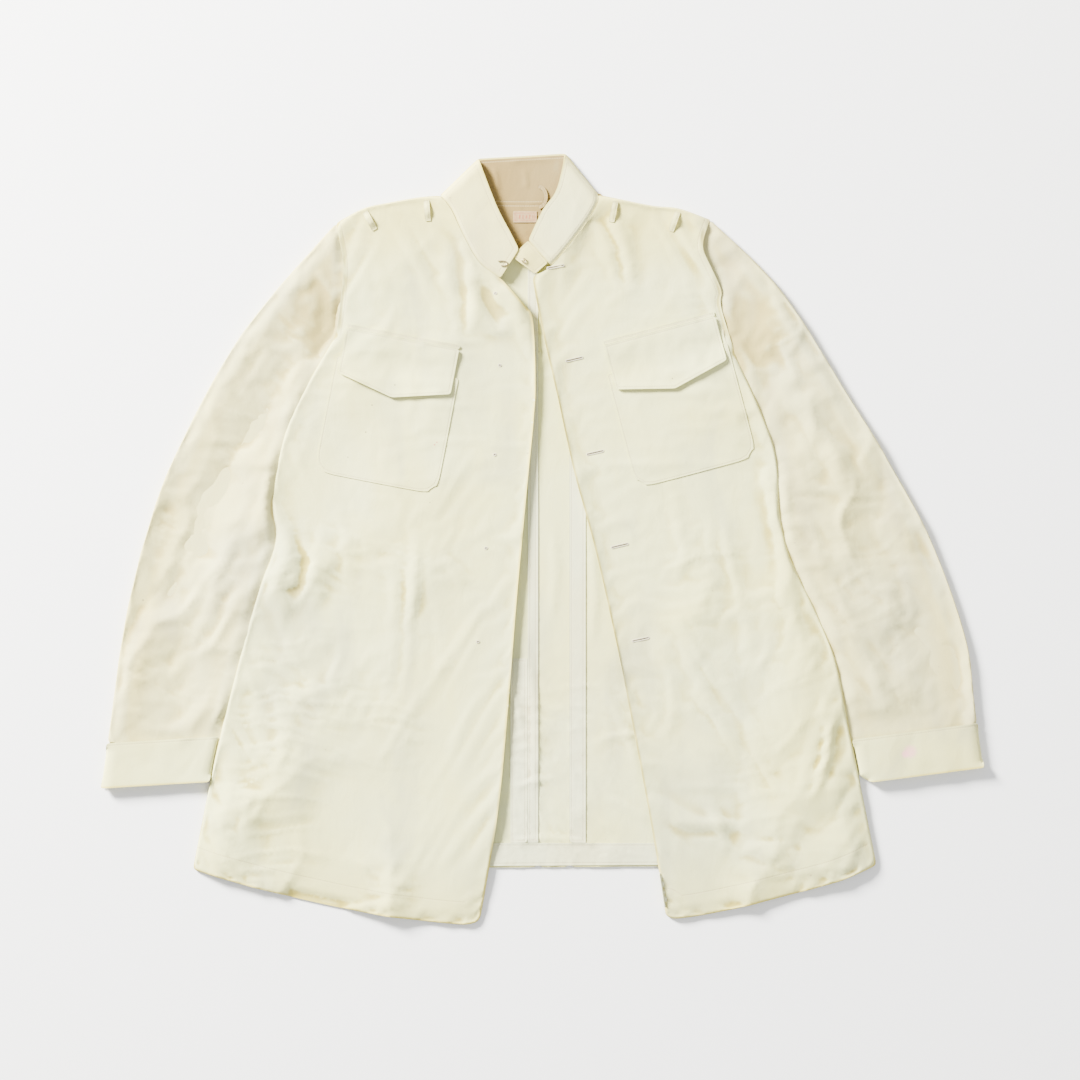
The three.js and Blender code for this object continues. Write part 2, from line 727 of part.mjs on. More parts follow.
// The origin is the middle of the underside of the coat's bounding box.
const bounds = new THREE.Box3().setFromObject(root);
const middle = bounds.getCenter(new THREE.Vector3());
root.position.set(-middle.x, -middle.y, -bounds.min.z);
const coat = new THREE.Group();
coat.add(root);

export default coat;
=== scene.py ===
# Laboratory coat laid open on its back: cotton panels, tubes and patches shaped as sheets of cloth,
# with creases, stitching and age. Metres, in the frame of the coat.
import json
import math

import bmesh
import bpy
import numpy as np
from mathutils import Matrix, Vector, geometry, noise
from mathutils.bvhtree import BVHTree


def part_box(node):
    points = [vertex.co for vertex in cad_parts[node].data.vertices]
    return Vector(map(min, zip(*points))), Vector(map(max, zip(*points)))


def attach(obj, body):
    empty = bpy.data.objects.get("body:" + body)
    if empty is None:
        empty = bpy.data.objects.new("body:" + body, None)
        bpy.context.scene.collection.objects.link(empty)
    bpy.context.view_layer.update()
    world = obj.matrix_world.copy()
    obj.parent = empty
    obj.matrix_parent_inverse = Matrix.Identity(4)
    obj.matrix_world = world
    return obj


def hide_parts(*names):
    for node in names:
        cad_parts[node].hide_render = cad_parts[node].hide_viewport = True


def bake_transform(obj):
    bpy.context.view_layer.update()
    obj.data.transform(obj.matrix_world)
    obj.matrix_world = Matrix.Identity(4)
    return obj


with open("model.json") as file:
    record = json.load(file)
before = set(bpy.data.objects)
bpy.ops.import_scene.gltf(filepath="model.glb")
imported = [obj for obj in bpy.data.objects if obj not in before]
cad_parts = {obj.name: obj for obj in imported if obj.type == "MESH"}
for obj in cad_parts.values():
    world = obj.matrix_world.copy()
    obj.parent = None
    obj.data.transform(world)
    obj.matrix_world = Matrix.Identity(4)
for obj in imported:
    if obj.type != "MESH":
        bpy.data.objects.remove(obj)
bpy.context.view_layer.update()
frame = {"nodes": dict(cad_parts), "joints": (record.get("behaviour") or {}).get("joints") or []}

scene = bpy.context.scene
joints = {joint["name"]: joint for joint in frame["joints"]}
MM = 0.001

# ---------------------------------------------------------------- camera, floor and light

VIEW_WIDTH = 1.134
CAMERA_HEIGHT = 3.0
CAMERA_PLACE = (-0.0024, -0.001, CAMERA_HEIGHT)
SENSOR = 36.0


def make_camera():
    data = bpy.data.cameras.new("camera")
    data.sensor_width = SENSOR
    data.lens = SENSOR * (CAMERA_HEIGHT - 0.009) / VIEW_WIDTH
    camera = bpy.data.objects.new("camera", data)
    camera.location = CAMERA_PLACE
    scene.collection.objects.link(camera)
    scene.camera = camera


def make_light(name, place, aim, size, power, colour=(1, 1, 1)):
    data = bpy.data.lights.new(name, "AREA")
    data.size = size
    data.energy = power
    data.color = colour
    light = bpy.data.objects.new(name, data)
    light.location = place
    light.rotation_euler = (Vector(aim) - Vector(place)).to_track_quat("-Z", "Y").to_euler()
    scene.collection.objects.link(light)


def make_studio():
    make_light("key light", (-2.9, 2.5, 1.75), (0, 0, 0), 1.1, 1850, (1.0, 0.985, 0.95))
    make_light("fill light", (2.2, -1.4, 2.6), (0, 0, 0), 2.4, 70, (0.95, 0.98, 1.0))
    world = bpy.data.worlds.new("studio")
    world.use_nodes = True
    world.node_tree.nodes["Background"].inputs["Color"].default_value = (1, 1, 1, 1)
    world.node_tree.nodes["Background"].inputs["Strength"].default_value = 0.8
    scene.world = world


# ---------------------------------------------------------------- shader wrapper


class Socket:
    """One output of a node, with arithmetic on values."""

    def __init__(self, tree, link):
        self.tree = tree
        self.link = link

    def math(self, operation, first, second=None):
        node = self.tree.nodes.new("ShaderNodeMath")
        node.operation = operation
        for slot, value in zip(node.inputs, (first, second)):
            if isinstance(value, Socket):
                self.tree.links.new(value.link, slot)
            elif value is not None:
                slot.default_value = value
        return Socket(self.tree, node.outputs[0])

    def __add__(self, other):
        return self.math("ADD", self, other)

    __radd__ = __add__

    def __sub__(self, other):
        return self.math("SUBTRACT", self, other)

    def __mul__(self, other):
        return self.math("MULTIPLY", self, other)

    __rmul__ = __mul__

    def __truediv__(self, other):
        return self.math("DIVIDE", self, other)

    def __lt__(self, other):
        return self.math("LESS_THAN", self, other)

    def __abs__(self):
        return self.math("ABSOLUTE", self)

    def part(self):
        return self.math("FRACT", self)


class Finish:
    """A material under construction."""

    def __init__(self, name, roughness=0.85, metallic=0.0, sheen=0.0):
        self.material = bpy.data.materials.new(name)
        self.material.use_nodes = True
        self.tree = self.material.node_tree
        self.shader = self.tree.nodes["Principled BSDF"]
        self.shader.inputs["Roughness"].default_value = roughness
        self.shader.inputs["Metallic"].default_value = metallic
        self.shader.inputs["Sheen Weight"].default_value = sheen
        self.shader.inputs["Sheen Roughness"].default_value = 0.5
        self.shader.inputs["Specular IOR Level"].default_value = 0.25

    def node(self, kind, settings=None, output=0, **values):
        made = self.tree.nodes.new(kind)
        for key, value in (settings or {}).items():
            setattr(made, key, value)
        for key, value in values.items():
            slot = made.inputs[int(key[1:])] if key[0] == "i" and key[1:].isdigit() else made.inputs[key]
            if isinstance(value, Socket):
                self.tree.links.new(value.link, slot)
            else:
                slot.default_value = value
        return Socket(self.tree, made.outputs[output])

    def place(self):
        return self.node("ShaderNodeTexCoord", output=3)

    def attribute(self, name):
        return self.node("ShaderNodeAttribute", {"attribute_name": name}, output=2)

    def cloud(self, where, scale, detail=3.0, roughness=0.5, warp=0.0):
        return self.node("ShaderNodeTexNoise", Vector=where, Scale=scale, Detail=detail,
                         Roughness=roughness, Distortion=warp)

    def wave(self, where, scale, direction):
        return self.node("ShaderNodeTexWave", {"bands_direction": direction}, output=1,
                         Vector=where, Scale=scale)

    def range(self, value, low, high, to_low=0.0, to_high=1.0):
        return self.node("ShaderNodeMapRange", {"interpolation_type": "SMOOTHSTEP"},
                         i0=value, i1=low, i2=high, i3=to_low, i4=to_high)

    def blend(self, share, first, second):
        return self.node("ShaderNodeMix", {"data_type": "RGBA"}, output=2, i0=share,
                         i6=first, i7=second)

    def stretch(self, where, scale, turn=0.0):
        return self.node("ShaderNodeMapping", Vector=where, Rotation=(0, 0, turn), Scale=scale)

    def set(self, **links):
        for name, value in links.items():
            self.tree.links.new(value.link, self.shader.inputs[name.replace("_", " ")])

    def bump(self, height, strength, distance):
        self.set(Normal=self.node("ShaderNodeBump", Strength=strength, Distance=distance,
                                  Height=height))


# ---------------------------------------------------------------- finishes

THREADS_PER_METRE = 2200
STITCH_PITCH = 2.6 * MM
STITCH_HALF_WIDTH = 0.45 * MM


def rgb(red, green, blue):
    return (red, green, blue, 1.0)


def weave(finish, where):
    """Plain weave: two sets of threads, each a little uneven."""
    scale = THREADS_PER_METRE / 3.2
    uneven = finish.cloud(where, 900, 2)
    threads = finish.wave(where, scale, "X") + finish.wave(where, scale, "Y")
    return threads * 0.5 + uneven * 0.6


# Places, sizes and colours of the small marks on the cloth, in millimetres.
DARK_FLECK = rgb(0.10, 0.08, 0.05)
FLECKS = [
    (-154.8, 161.8, 1.0, DARK_FLECK), (-178.9, 140.7, 1.1, DARK_FLECK), (-185.6, 112.4, 1.1, DARK_FLECK),
    (-204.4, 86.1, 0.9, DARK_FLECK), (-118.0, 38.6, 0.8, DARK_FLECK), (-419.9, -64.2, 1.4, DARK_FLECK),
    (136.6, 168.5, 1.0, DARK_FLECK), (-113.2, 99.0, 1.2, rgb(0.55, 0.10, 0.09)),
    (-110.8, 101.6, 1.1, rgb(0.55, 0.12, 0.10)), (386.4, -223.2, 9.0, rgb(0.86, 0.42, 0.40)),
    (381.0, -226.0, 5.0, rgb(0.88, 0.40, 0.42)),
]

COOL = rgb(0.66, 0.69, 0.44)
SHADE = rgb(0.42, 0.42, 0.27)
GOLD = rgb(0.60, 0.50, 0.10)
SPECK = rgb(0.38, 0.30, 0.18)
SEAM = rgb(0.50, 0.40, 0.22)


def cotton(name, fair, warm, fold_shade_colour, age=0.5, gold=GOLD):
    """Old cotton: fair cloth with cool and warm patches, a darker yellow-brown painted as shade in the folds,
    with stitched edges.
    """
    finish = Finish(name, 0.86, sheen=0.12)
    where = finish.place()
    fold = finish.attribute("fold")
    aged = finish.attribute("aged")
    stitch_gap = finish.attribute("stitch_gap")
    stitch_run = finish.attribute("stitch_run")
    patches = finish.range(finish.cloud(where, 5.5, 4, 0.55, 0.6), 0.36, 0.66)
    cool = finish.range(finish.cloud(where, 3.6, 3, 0.5, 0.4), 0.42, 0.7)
    streaks = finish.cloud(finish.stretch(where, (34, 9, 9), 0.3), 1.0, 4, 0.6)
    colour = finish.blend(cool * 0.55, fair, COOL)
    colour = finish.blend(patches * (0.25 + 0.5 * age), colour, warm)
    colour = finish.blend(finish.range(streaks, 0.5, 0.85) * 0.35, colour, warm)
    colour = finish.blend(finish.range(aged, 0.0, 1.0) * 0.85, colour, gold)
    # Painted shade: cloth that lies lower than its neighbours is blended towards the fold shade colour.
    fold_shade = finish.range(fold * -1.0, 0.04, 0.9)
    colour = finish.blend(fold_shade * 0.82, colour, fold_shade_colour)
    shade = finish.range(finish.cloud(finish.stretch(where, (15, 6, 6), 0.5), 1.0, 3, 0.5, 0.7), 0.5, 0.75)
    colour = finish.blend(shade * 0.5, colour, SHADE)
    specks = finish.range(finish.cloud(where, 160, 1), 0.80, 0.84)
    colour = finish.blend(specks * 0.5, colour, SPECK)
    flat = finish.stretch(where, (1, 1, 0))
    for x, y, radius, mark in FLECKS:
        away = finish.node("ShaderNodeVectorMath", {"operation": "DISTANCE"}, 1, i0=flat,
                           i1=(x * MM, y * MM, 0))
        blot = finish.range(away, 0.35 * radius * MM, radius * MM, 0.8, 0.0)
        colour = finish.blend(blot * patches if radius > 3 else blot, colour, mark)
    on_line = finish.range(abs(stitch_gap), STITCH_HALF_WIDTH, 2 * STITCH_HALF_WIDTH, 1.0, 0.0)
    dash = (stitch_run / STITCH_PITCH).part() < 0.72
    stitches = on_line * (0.25 + 0.75 * dash)
    colour = finish.blend(stitches * 0.32, colour, SEAM)
    crumple = finish.cloud(finish.stretch(where, (60, 38, 38), 0.5), 1.0, 5, 0.6, 0.8)
    height = weave(finish, where) * 0.10 + crumple * 0.9 - stitches * 0.28
    finish.set(Base_Color=colour, Roughness=0.80 + 0.12 * patches)
    finish.bump(height, 0.55, 0.0009)
    return finish.material


def wire(name):
    finish = Finish(name, 0.4, 0.85)
    where = finish.place()
    tarnish = finish.range(finish.cloud(where, 900, 4), 0.35, 0.7)
    finish.set(Base_Color=finish.blend(tarnish, rgb(0.52, 0.42, 0.24), rgb(0.20, 0.15, 0.09)),
               Roughness=0.3 + 0.4 * tarnish)
    finish.bump(tarnish, 0.2, 0.0002)
    return finish.material


def label_finish(name):
    """Woven tape with a faded woven frame and no lettering."""
    finish = Finish(name, 0.8, sheen=0.15)
    where = finish.place()
    rim = finish.attribute("rim")
    fade = finish.cloud(where, 420, 4)
    bars = finish.wave(finish.stretch(where, (1, 1, 1), 0.09), 90, "X")
    colour = finish.blend(fade, rgb(0.42, 0.29, 0.15), rgb(0.34, 0.22, 0.10))
    frame_line = finish.range(abs(rim - 2.2 * MM), 0.5 * MM, 0.9 * MM, 1.0, 0.0)
    middle = finish.range(rim, 3.6 * MM, 4.2 * MM) * finish.range(bars, 0.45, 0.6)
    colour = finish.blend(frame_line * 0.45 * fade + middle * 0.9 * fade, colour,
                          rgb(0.36, 0.04, 0.02))
    finish.set(Base_Color=colour)
    finish.bump(weave(finish, where), 0.3, 0.0006)
    return finish.material


def table_finish():
    finish = Finish("pale table", 0.9)
    speckle = finish.cloud(finish.place(), 40, 3)
    finish.set(Base_Color=finish.blend(speckle, rgb(0.93, 0.93, 0.92), rgb(0.95, 0.95, 0.945)))
    return finish.material


# ---------------------------------------------------------------- outlines from the frame

SPACING = 7 * MM


def level_borders(node, low=False):
    """Border edges of the highest, or lowest, flat face of a node, as pairs of [x, y]."""
    work = bmesh.new()
    work.from_mesh(frame["nodes"][node].data)
    bmesh.ops.remove_doubles(work, verts=work.verts, dist=2e-6)
    work.normal_update()
    sign = -1 if low else 1
    top = max(sign * vert.co.z for vert in work.verts)
    level = {face for face in work.faces
             if sign * face.normal.z > 0.99 and min(sign * v.co.z for v in face.verts) > top - 1e-5}
    found = []
    for edge in work.edges:
        if sum(face in level for face in edge.link_faces) == 1:
            found.append([list(vert.co.xy) for vert in edge.verts])
    work.free()
    return found


def near_segments(points, segments):
    """Distance from each point to the nearest of some segments."""
    a = np.array([s[0] for s in segments])
    b = np.array([s[1] for s in segments])
    way = b - a
    length = np.maximum((way ** 2).sum(1), 1e-12)
    best = np.full(len(points), 1e9)
    for i in range(len(a)):
        share = np.clip(((points - a[i]) @ way[i]) / length[i], 0, 1)
        away = np.hypot(*(points - a[i] - share[:, None] * way[i]).T)
        best = np.minimum(best, away)
    return best


def outline_of(*names, low=False):
    """The outer outline of one or more nodes that lie side by side, counter-clockwise."""
    borders = {name: level_borders(name, low) for name in names}
    kept = []
    for name, edges in borders.items():
        others = [e for other in names if other != name for e in borders[other]]
        for a, b in edges:
            middle = np.array([[(a[0] + b[0]) / 2, (a[1] + b[1]) / 2]])
            if not others or near_segments(middle, others)[0] > 0.6 * MM:
                kept.append((a, b))
    corners = []

    def corner(point):
        for i, known in enumerate(corners):
            if math.dist(known, point) < 1.2 * MM:
                return i
        corners.append(point)
        return len(corners) - 1

    links = {}
    for a, b in kept:
        i, j = corner(a), corner(b)
        if i != j:
            links.setdefault(i, set()).add(j)
            links.setdefault(j, set()).add(i)
    loops = []
    unused = set(links)
    while unused:
        start = unused.pop()
        loop = [start]
        while True:
            ahead = [k for k in links[loop[-1]] if k in unused]
            if not ahead:
                break
            loop.append(ahead[0])
            unused.discard(ahead[0])
        loops.append([corners[i] for i in loop])
    best = max(loops, key=lambda loop: abs(area_of(loop)))
    return best if area_of(best) > 0 else best[::-1]


def area_of(loop):
    x, y = np.array(loop).T
    return 0.5 * float(np.sum(x * np.roll(y, -1) - np.roll(x, -1) * y))


def resample(loop, spacing):
    """The outline with points at a spacing, rounded between corners."""
    points = np.array(loop)
    count = len(points)
    before = points - np.roll(points, 1, 0)
    after = np.roll(points, -1, 0) - points
    bend = np.abs(np.arctan2(before[:, 0] * after[:, 1] - before[:, 1] * after[:, 0],
                             (before * after).sum(1)))
    sharp = bend > math.radians(28)
    made = []
    for i in range(count):
        p0, p1 = points[i - 1], points[i]
        p2, p3 = points[(i + 1) % count], points[(i + 2) % count]
        if sharp[i]:
            p0 = 2 * p1 - p2
        if sharp[(i + 1) % count]:
            p3 = 2 * p2 - p1
        steps = max(1, round(math.dist(p1, p2) / spacing))
        for k in range(steps):
            t = k / steps
            made.append(0.5 * (2 * p1 + (p2 - p0) * t + (2 * p0 - 5 * p1 + 4 * p2 - p3) * t ** 2
                               + (3 * p1 - p0 - 3 * p2 + p3) * t ** 3))
    return np.array(made)


def inside(points, ring):
    """Which points are within a closed outline."""
    found = np.zeros(len(points), bool)
    for a, b in zip(ring, np.roll(ring, -1, 0)):
        if a[1] == b[1]:
            continue
        cross = (a[1] > points[:, 1]) != (b[1] > points[:, 1])
        x = a[0] + (points[:, 1] - a[1]) * (b[0] - a[0]) / (b[1] - a[1])
        found ^= cross & (points[:, 0] < x)
    return found


def segments_of(ring):
    return list(zip(ring, np.roll(ring, -1, 0)))


def border_of(outline):
    """The edges of an outline drawn at the usual spacing."""
    return segments_of(resample(outline, SPACING))


def segment(start, end):
    return [(np.array(start), np.array(end))]


def outward_of(ring):
    """The way out of a counter-clockwise ring at each of its points."""
    edge = np.roll(ring, -1, 0) - np.roll(ring, 1, 0)
    return np.stack([edge[:, 1], -edge[:, 0]], 1) / np.maximum(np.hypot(*edge.T), 1e-9)[:, None]


def fill(outline, spacing=SPACING, rims=(2.2 * MM, 5 * MM)):
    """A flat net of triangles over an outline: its ring first, then rims near it and a lattice."""
    ring = resample(outline, spacing)
    inwards = -outward_of(ring)
    borders = segments_of(ring)
    low, high = ring.min(0), ring.max(0)
    rise = spacing * math.sqrt(3) / 2
    lattice = []
    for j in range(int((high[1] - low[1]) / rise) + 1):
        start = low[0] + (j % 2) * spacing / 2
        lattice += [(x, low[1] + j * rise) for x in np.arange(start, high[0], spacing)]
    groups = [(ring + inwards * rim, 0.75 * rim) for rim in rims]
    groups.append((np.array(lattice), (rims[-1] if rims else 0) + 0.5 * spacing))
    points = [ring]
    for group, clear in groups:
        group = group[inside(group, ring)]
        group = group[near_segments(group, borders) > clear]
        points.append(group)
    coords = np.concatenate(points)
    count = len(ring)
    loop = [(i, (i + 1) % count) for i in range(count)]
    verts, _, faces, _, _, _ = geometry.delaunay_2d_cdt(
        [Vector(p) for p in coords], loop, [list(range(count))], 1, 1e-7)
    return np.array([tuple(v) for v in verts]), [tuple(f) for f in faces], count


def between(ring, start, end):
    """The stretch of an outline from the point nearest start, counter-clockwise to that nearest end."""
    first = int(np.argmin(np.hypot(*(ring - np.array(start)).T)))
    last = int(np.argmin(np.hypot(*(ring - np.array(end)).T)))
    stretch = [ring[(first + k) % len(ring)] for k in range((last - first) % len(ring) + 1)]
    return list(zip(stretch, stretch[1:]))


def run_along(points, segments):
    """How far along a stretch of outline each point's nearest place is."""
    best = np.full(len(points), 1e9)
    run = np.zeros(len(points))
    travelled = 0.0
    for a, b in segments:
        way = b - a
        length = float(np.hypot(*way))
        share = np.clip(((points - a) @ way) / max(length ** 2, 1e-12), 0, 1)
        away = np.hypot(*(points - a - share[:, None] * way).T)
        closer = away < best
        run[closer] = travelled + share[closer] * length
        best = np.minimum(best, away)
        travelled += length
    return run


# ---------------------------------------------------------------- creases


FACET_TABLE = 64


def fractal(points, scale, seed, octaves=3):
    """Smooth noise from -1 to 1 at each point, with a blob size in metres."""
    offset = Vector((seed * 7.31, seed * 3.17, seed * 1.93))
    return np.array([noise.fractal(Vector((x / scale[0], y / scale[1], 0)) + offset, 0.9, 2.1,
                                   octaves) for x, y in points])


def turned(points, angle):
    c, s = math.cos(angle), math.sin(angle)
    return np.stack([points[:, 0] * c + points[:, 1] * s, points[:, 1] * c - points[:, 0] * s], 1)


def crumple(points, angle, length, width, height, seed):
    """Crisp small ridges that run along a direction, fading in and out."""
    local = turned(points, angle)
    warp = fractal(local, (0.11, 0.11), seed + 11, 2)[:, None] * 0.02
    n = fractal(local + warp, (width, length), seed, 3)
    strength = np.clip(fractal(local, (0.12, 0.16), seed + 5, 2) * 1.6 + 0.55, 0, 1.3)
    ridge = np.clip(1 - np.abs(n) * 3.4, 0, 1) ** 1.5
    return height * ridge * strength


def facets(points, angle, length, width, height, seed):
    """Flat faces that meet in crisp folds, as stiff cotton lies after it has been folded."""
    local = turned(points, angle)
    bend = np.stack([fractal(local, (1.9 * width, 1.9 * width), seed + k, 2) for k in (21, 22)], 1)
    cell = local / (length, width) + 0.55 * bend
    corner = np.floor(cell).astype(int)
    part = cell - corner
    table = np.random.default_rng(seed).uniform(-1, 1, (FACET_TABLE, FACET_TABLE))

    def corner_height(across, along):
        return table[(corner[:, 0] + across) % FACET_TABLE, (corner[:, 1] + along) % FACET_TABLE]

    near, far = corner_height(0, 0), corner_height(1, 1)
    side, top = corner_height(1, 0), corner_height(0, 1)
    lower = near + part[:, 0] * (side - near) + part[:, 1] * (top - near)
    upper = far + (1 - part[:, 0]) * (top - far) + (1 - part[:, 1]) * (side - far)
    return height * np.where(part.sum(1) < 1, lower, upper)


def creases(points, table):
    """Listed folds: each runs from one place to another, in millimetres, with a width and a
    height, which is below zero for a valley."""
    total = np.zeros(len(points))
    for x0, y0, x1, y1, width, height in table:
        a, b = np.array([x0, y0]) * MM, np.array([x1, y1]) * MM
        way = b - a
        length = float(np.hypot(*way))
        share = ((points - a) @ way) / length ** 2
        side = ((points - a) @ np.array([-way[1], way[0]])) / length
        bowed = side - 0.05 * length * np.sin(np.clip(share, 0, 1) * math.pi)
        half = width * MM / 2
        ends = np.clip(np.minimum(share, 1 - share) * 3.2 + 0.12, 0, 1)
        ends = ends * ends * (3 - 2 * ends)
        profile = np.exp(-(bowed / half) ** 2) - 0.45 * np.exp(-((bowed - 1.7 * half) / half) ** 2)
        total += height * MM * ends * profile
    return total


def smoothstep(value, low, high):
    t = np.clip((value - low) / (high - low), 0, 1)
    return t * t * (3 - 2 * t)


# ---------------------------------------------------------------- cloth


def new_object(name, verts, faces):
    mesh = bpy.data.meshes.new(name)
    mesh.from_pydata([tuple(v) for v in verts], [], [tuple(f) for f in faces])
    mesh.update()
    made = bpy.data.objects.new(name, mesh)
    scene.collection.objects.link(made)
    return made


def only(target):
    bpy.ops.object.select_all(action="DESELECT")
    target.select_set(True)
    bpy.context.view_layer.objects.active = target


def apply_modifier(target, kind, **settings):
    only(target)
    modifier = target.modifiers.new(kind.lower(), kind)
    for key, value in settings.items():
        setattr(modifier, key, value)
    bpy.ops.object.modifier_apply(modifier=modifier.name)


def coordinates(target):
    flat = np.empty(len(target.data.vertices) * 3)
    target.data.vertices.foreach_get("co", flat)
    return flat.reshape(-1, 3)


def place_vertices(target, coords):
    target.data.vertices.foreach_set("co", np.ascontiguousarray(coords, dtype=np.float32).ravel())
    target.data.update()


def note(target, name, values):
    found = target.data.attributes.get(name)
    attribute = found or target.data.attributes.new(name, "FLOAT", "POINT")
    attribute.data.foreach_set("value", np.asarray(values, np.float32))


def neighbours_mean(target, coords, rounds):
    """Heights averaged over the net, to tell folds from the broad shape."""
    edges = np.empty(len(target.data.edges) * 2, np.int64)
    target.data.edges.foreach_get("vertices", edges)
    a, b = edges.reshape(-1, 2).T
    z = coords[:, 2].copy()
    count = np.bincount(a, minlength=len(z)) + np.bincount(b, minlength=len(z)) + 1
    for _ in range(rounds):
        total = z + np.bincount(a, z[b], len(z)) + np.bincount(b, z[a], len(z))
        z = total / count
    return z


# The fold attribute: how far each point lies below its neighbours, plus any extra, which the cotton finish
# paints as shade.
def mark_fold_shade(target, extra=None, gain=900.0):
    coords = coordinates(target)
    fold_shade = (coords[:, 2] - neighbours_mean(target, coords, 14)) * gain
    if extra is not None:
        fold_shade = fold_shade + extra
    note(target, "fold", np.clip(fold_shade, -1, 1))


def stitch_lines(points, stretches, inset):
    """Distance from the nearest stitch line at an inset from the stretches, and the run along it."""
    gap = np.full(len(points), 1.0)
    run = np.zeros(len(points))
    for stretch in stretches:
        away = near_segments(points, stretch) - inset
        closer = np.abs(away) < np.abs(gap)
        gap[closer] = away[closer]
        run[closer] = run_along(points, stretch)[closer]
    return gap, run


def note_stitches(target, gap, run):
    note(target, "stitch_gap", gap)
    note(target, "stitch_run", run)


CLOTH_THICKNESS = 0.6 * MM


def finish_cloth(target, thickness=CLOTH_THICKNESS):
    """Gives the cloth its thickness, below the shaped surface, and smooth shading."""
    apply_modifier(target, "SOLIDIFY", thickness=thickness, offset=-1.0, use_even_offset=False)
    only(target)
    bpy.ops.object.shade_smooth_by_angle(angle=math.radians(50))


def dress(target, material, slot, body, *nodes):
    target.data.materials.clear()
    target.data.materials.append(material)
    if body:
        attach(target, body)
    if nodes:
        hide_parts(*nodes)


SETTLE_FRAMES = 26
CLOTH_GAP = 1.2 * MM


def settle(target, held, floor_level, growth, drop=0.35):
    """Lets a sheet that is a little too large for its edges fall and buckle onto a board."""
    board = new_object("board", [(-1, -1, floor_level), (1, -1, floor_level), (1, 1, floor_level),
                                 (-1, 1, floor_level)], [(0, 1, 2, 3)])
    board.modifiers.new("collision", "COLLISION")
    board.collision.thickness_outer = CLOTH_GAP
    group = target.vertex_groups.new(name="held")
    group.add([int(i) for i in np.flatnonzero(held)], 1.0, "REPLACE")
    only(target)
    modifier = target.modifiers.new("cloth", "CLOTH")
    cloth = modifier.settings
    cloth.quality = 6
    cloth.mass = 0.2
    cloth.tension_stiffness = 20
    cloth.compression_stiffness = 20
    cloth.shear_stiffness = 6
    cloth.bending_stiffness = 1.2
    cloth.vertex_group_mass = "held"
    cloth.shrink_min = -growth
    cloth.effector_weights.gravity = drop
    modifier.collision_settings.use_collision = True
    modifier.collision_settings.distance_min = CLOTH_GAP
    modifier.point_cache.frame_start = 1
    modifier.point_cache.frame_end = SETTLE_FRAMES
    for frame_number in range(1, SETTLE_FRAMES + 1):
        scene.frame_set(frame_number)
    bpy.ops.object.modifier_apply(modifier=modifier.name)
    scene.frame_set(1)
    target.vertex_groups.clear()
    bpy.data.objects.remove(board)


SOFT_FLOOR = 2.6 * MM


def patch(name, outline, height, spacing=SPACING, rims=(2.2 * MM, 5 * MM), growth=0.0, detail=None,
          floor_level=2.4 * MM, ceiling=15 * MM, least=None):
    """A sheet over an outline whose height above the table is a function of its points. Growth lets
    it settle as a cloth that much too large, detail adds heights afterwards, and least bounds them."""
    flat, faces, count = fill(outline, spacing, rims)
    made = new_object(name, np.column_stack([flat, height(flat)]), faces)
    settled = growth > 0 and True
    if settled:
        held = np.arange(len(flat)) < count
        settle(made, held, floor_level, growth)
    apply_modifier(made, "SUBSURF", levels=1, render_levels=1, boundary_smooth="PRESERVE_CORNERS")
    coords = coordinates(made)
    if settled:
        coords[:, 2] = np.clip(coords[:, 2], HEM_LEVEL, ceiling)
    else:
        coords[:, 2] = height(coords[:, :2])
    if detail:
        coords[:, 2] += detail(coords[:, :2])
    if least:
        lowest = least(coords[:, :2])
        above = np.minimum((coords[:, 2] - lowest) / SOFT_FLOOR, 12)
        coords[:, 2] = lowest + SOFT_FLOOR * np.where(above > 1, above, np.exp(above - 1))
        coords[:, 2] = np.maximum(coords[:, 2], HEM_LEVEL)
    place_vertices(made, coords)
    return made


# ---------------------------------------------------------------- how the coat lies

NECK = {"left": (-0.1075, 0.3614), "right": (0.0595, 0.3623)}
NECK_FRONT = {"left": (-0.0440, 0.2741), "right": (-0.0085, 0.2765)}
SHOULDER = {side: joints[side + "_sleeve_swing"]["pos_m"][:2] for side in ("left", "right")}
UNDERARM = {"left": (-0.2173, 0.2141), "right": (0.2029, 0.1943)}
SIDE_HEM = {"left": (-0.3678, -0.3479), "right": (0.3518, -0.3430)}
FRONT_HEM = {"left": (-0.0640, -0.4010), "right": (0.1290, -0.3930)}
BACK_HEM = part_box("back_left_panel")[0].y
SIDE_SIGN = {"left": -1, "right": 1}

# What makes the noise of each piece its own, and the way its creases run, in radians.
FRONT_SEED = {"left": 3, "right": 17}
FRONT_LEAN = {"left": 1.45, "right": 1.75}
SLEEVE_SEED = {"left": 61, "right": 83}
LEAF_SEED = {"left": 101, "right": 107}
CUFF_SEED = {"left": 131, "right": 137}

FRONT_LEVEL = 9.2 * MM
EDGE_LEVEL = 1.7 * MM
HEM_LEVEL = 1.6 * MM
SIDE_LEVEL = 5.4 * MM
ARMHOLE_LEVEL = 7.4 * MM
TUCK = 6 * MM
FRONT_FLOOR = 4.0 * MM
FACING_GAP = 1.0 * MM
FACING_DEPTH = 0.5 * MM
HEM_STITCH = 24 * MM
ARMHOLE_STITCH = 5 * MM
FACING_STITCH = 52 * MM
FRONT_GROWTH = 0.0035
FRONT_BOARD = 3.2 * MM
SIDE_ROLL = 13 * MM
SHOULDER_ROLL = 9 * MM

# Round rectangles, in metres, larger than the cuts, and the least share of one that a cut may take.
FACING_CUT = (0.16, 0.70)
SLEEVE_CUT = (0.38, 0.60)
CUFF_CUT = (0.25, 0.05)
LEAST_SHARE = 0.31


def allowed_area(outline, width, length):
    """An outline's area, kept to the shares of its rectangle that a sheet's cut may take."""
    return float(np.clip(abs(area_of(outline)), LEAST_SHARE * width * length, width * length))


def width_and_length(node):
    low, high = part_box(node)
    return high.x - low.x, high.y - low.y


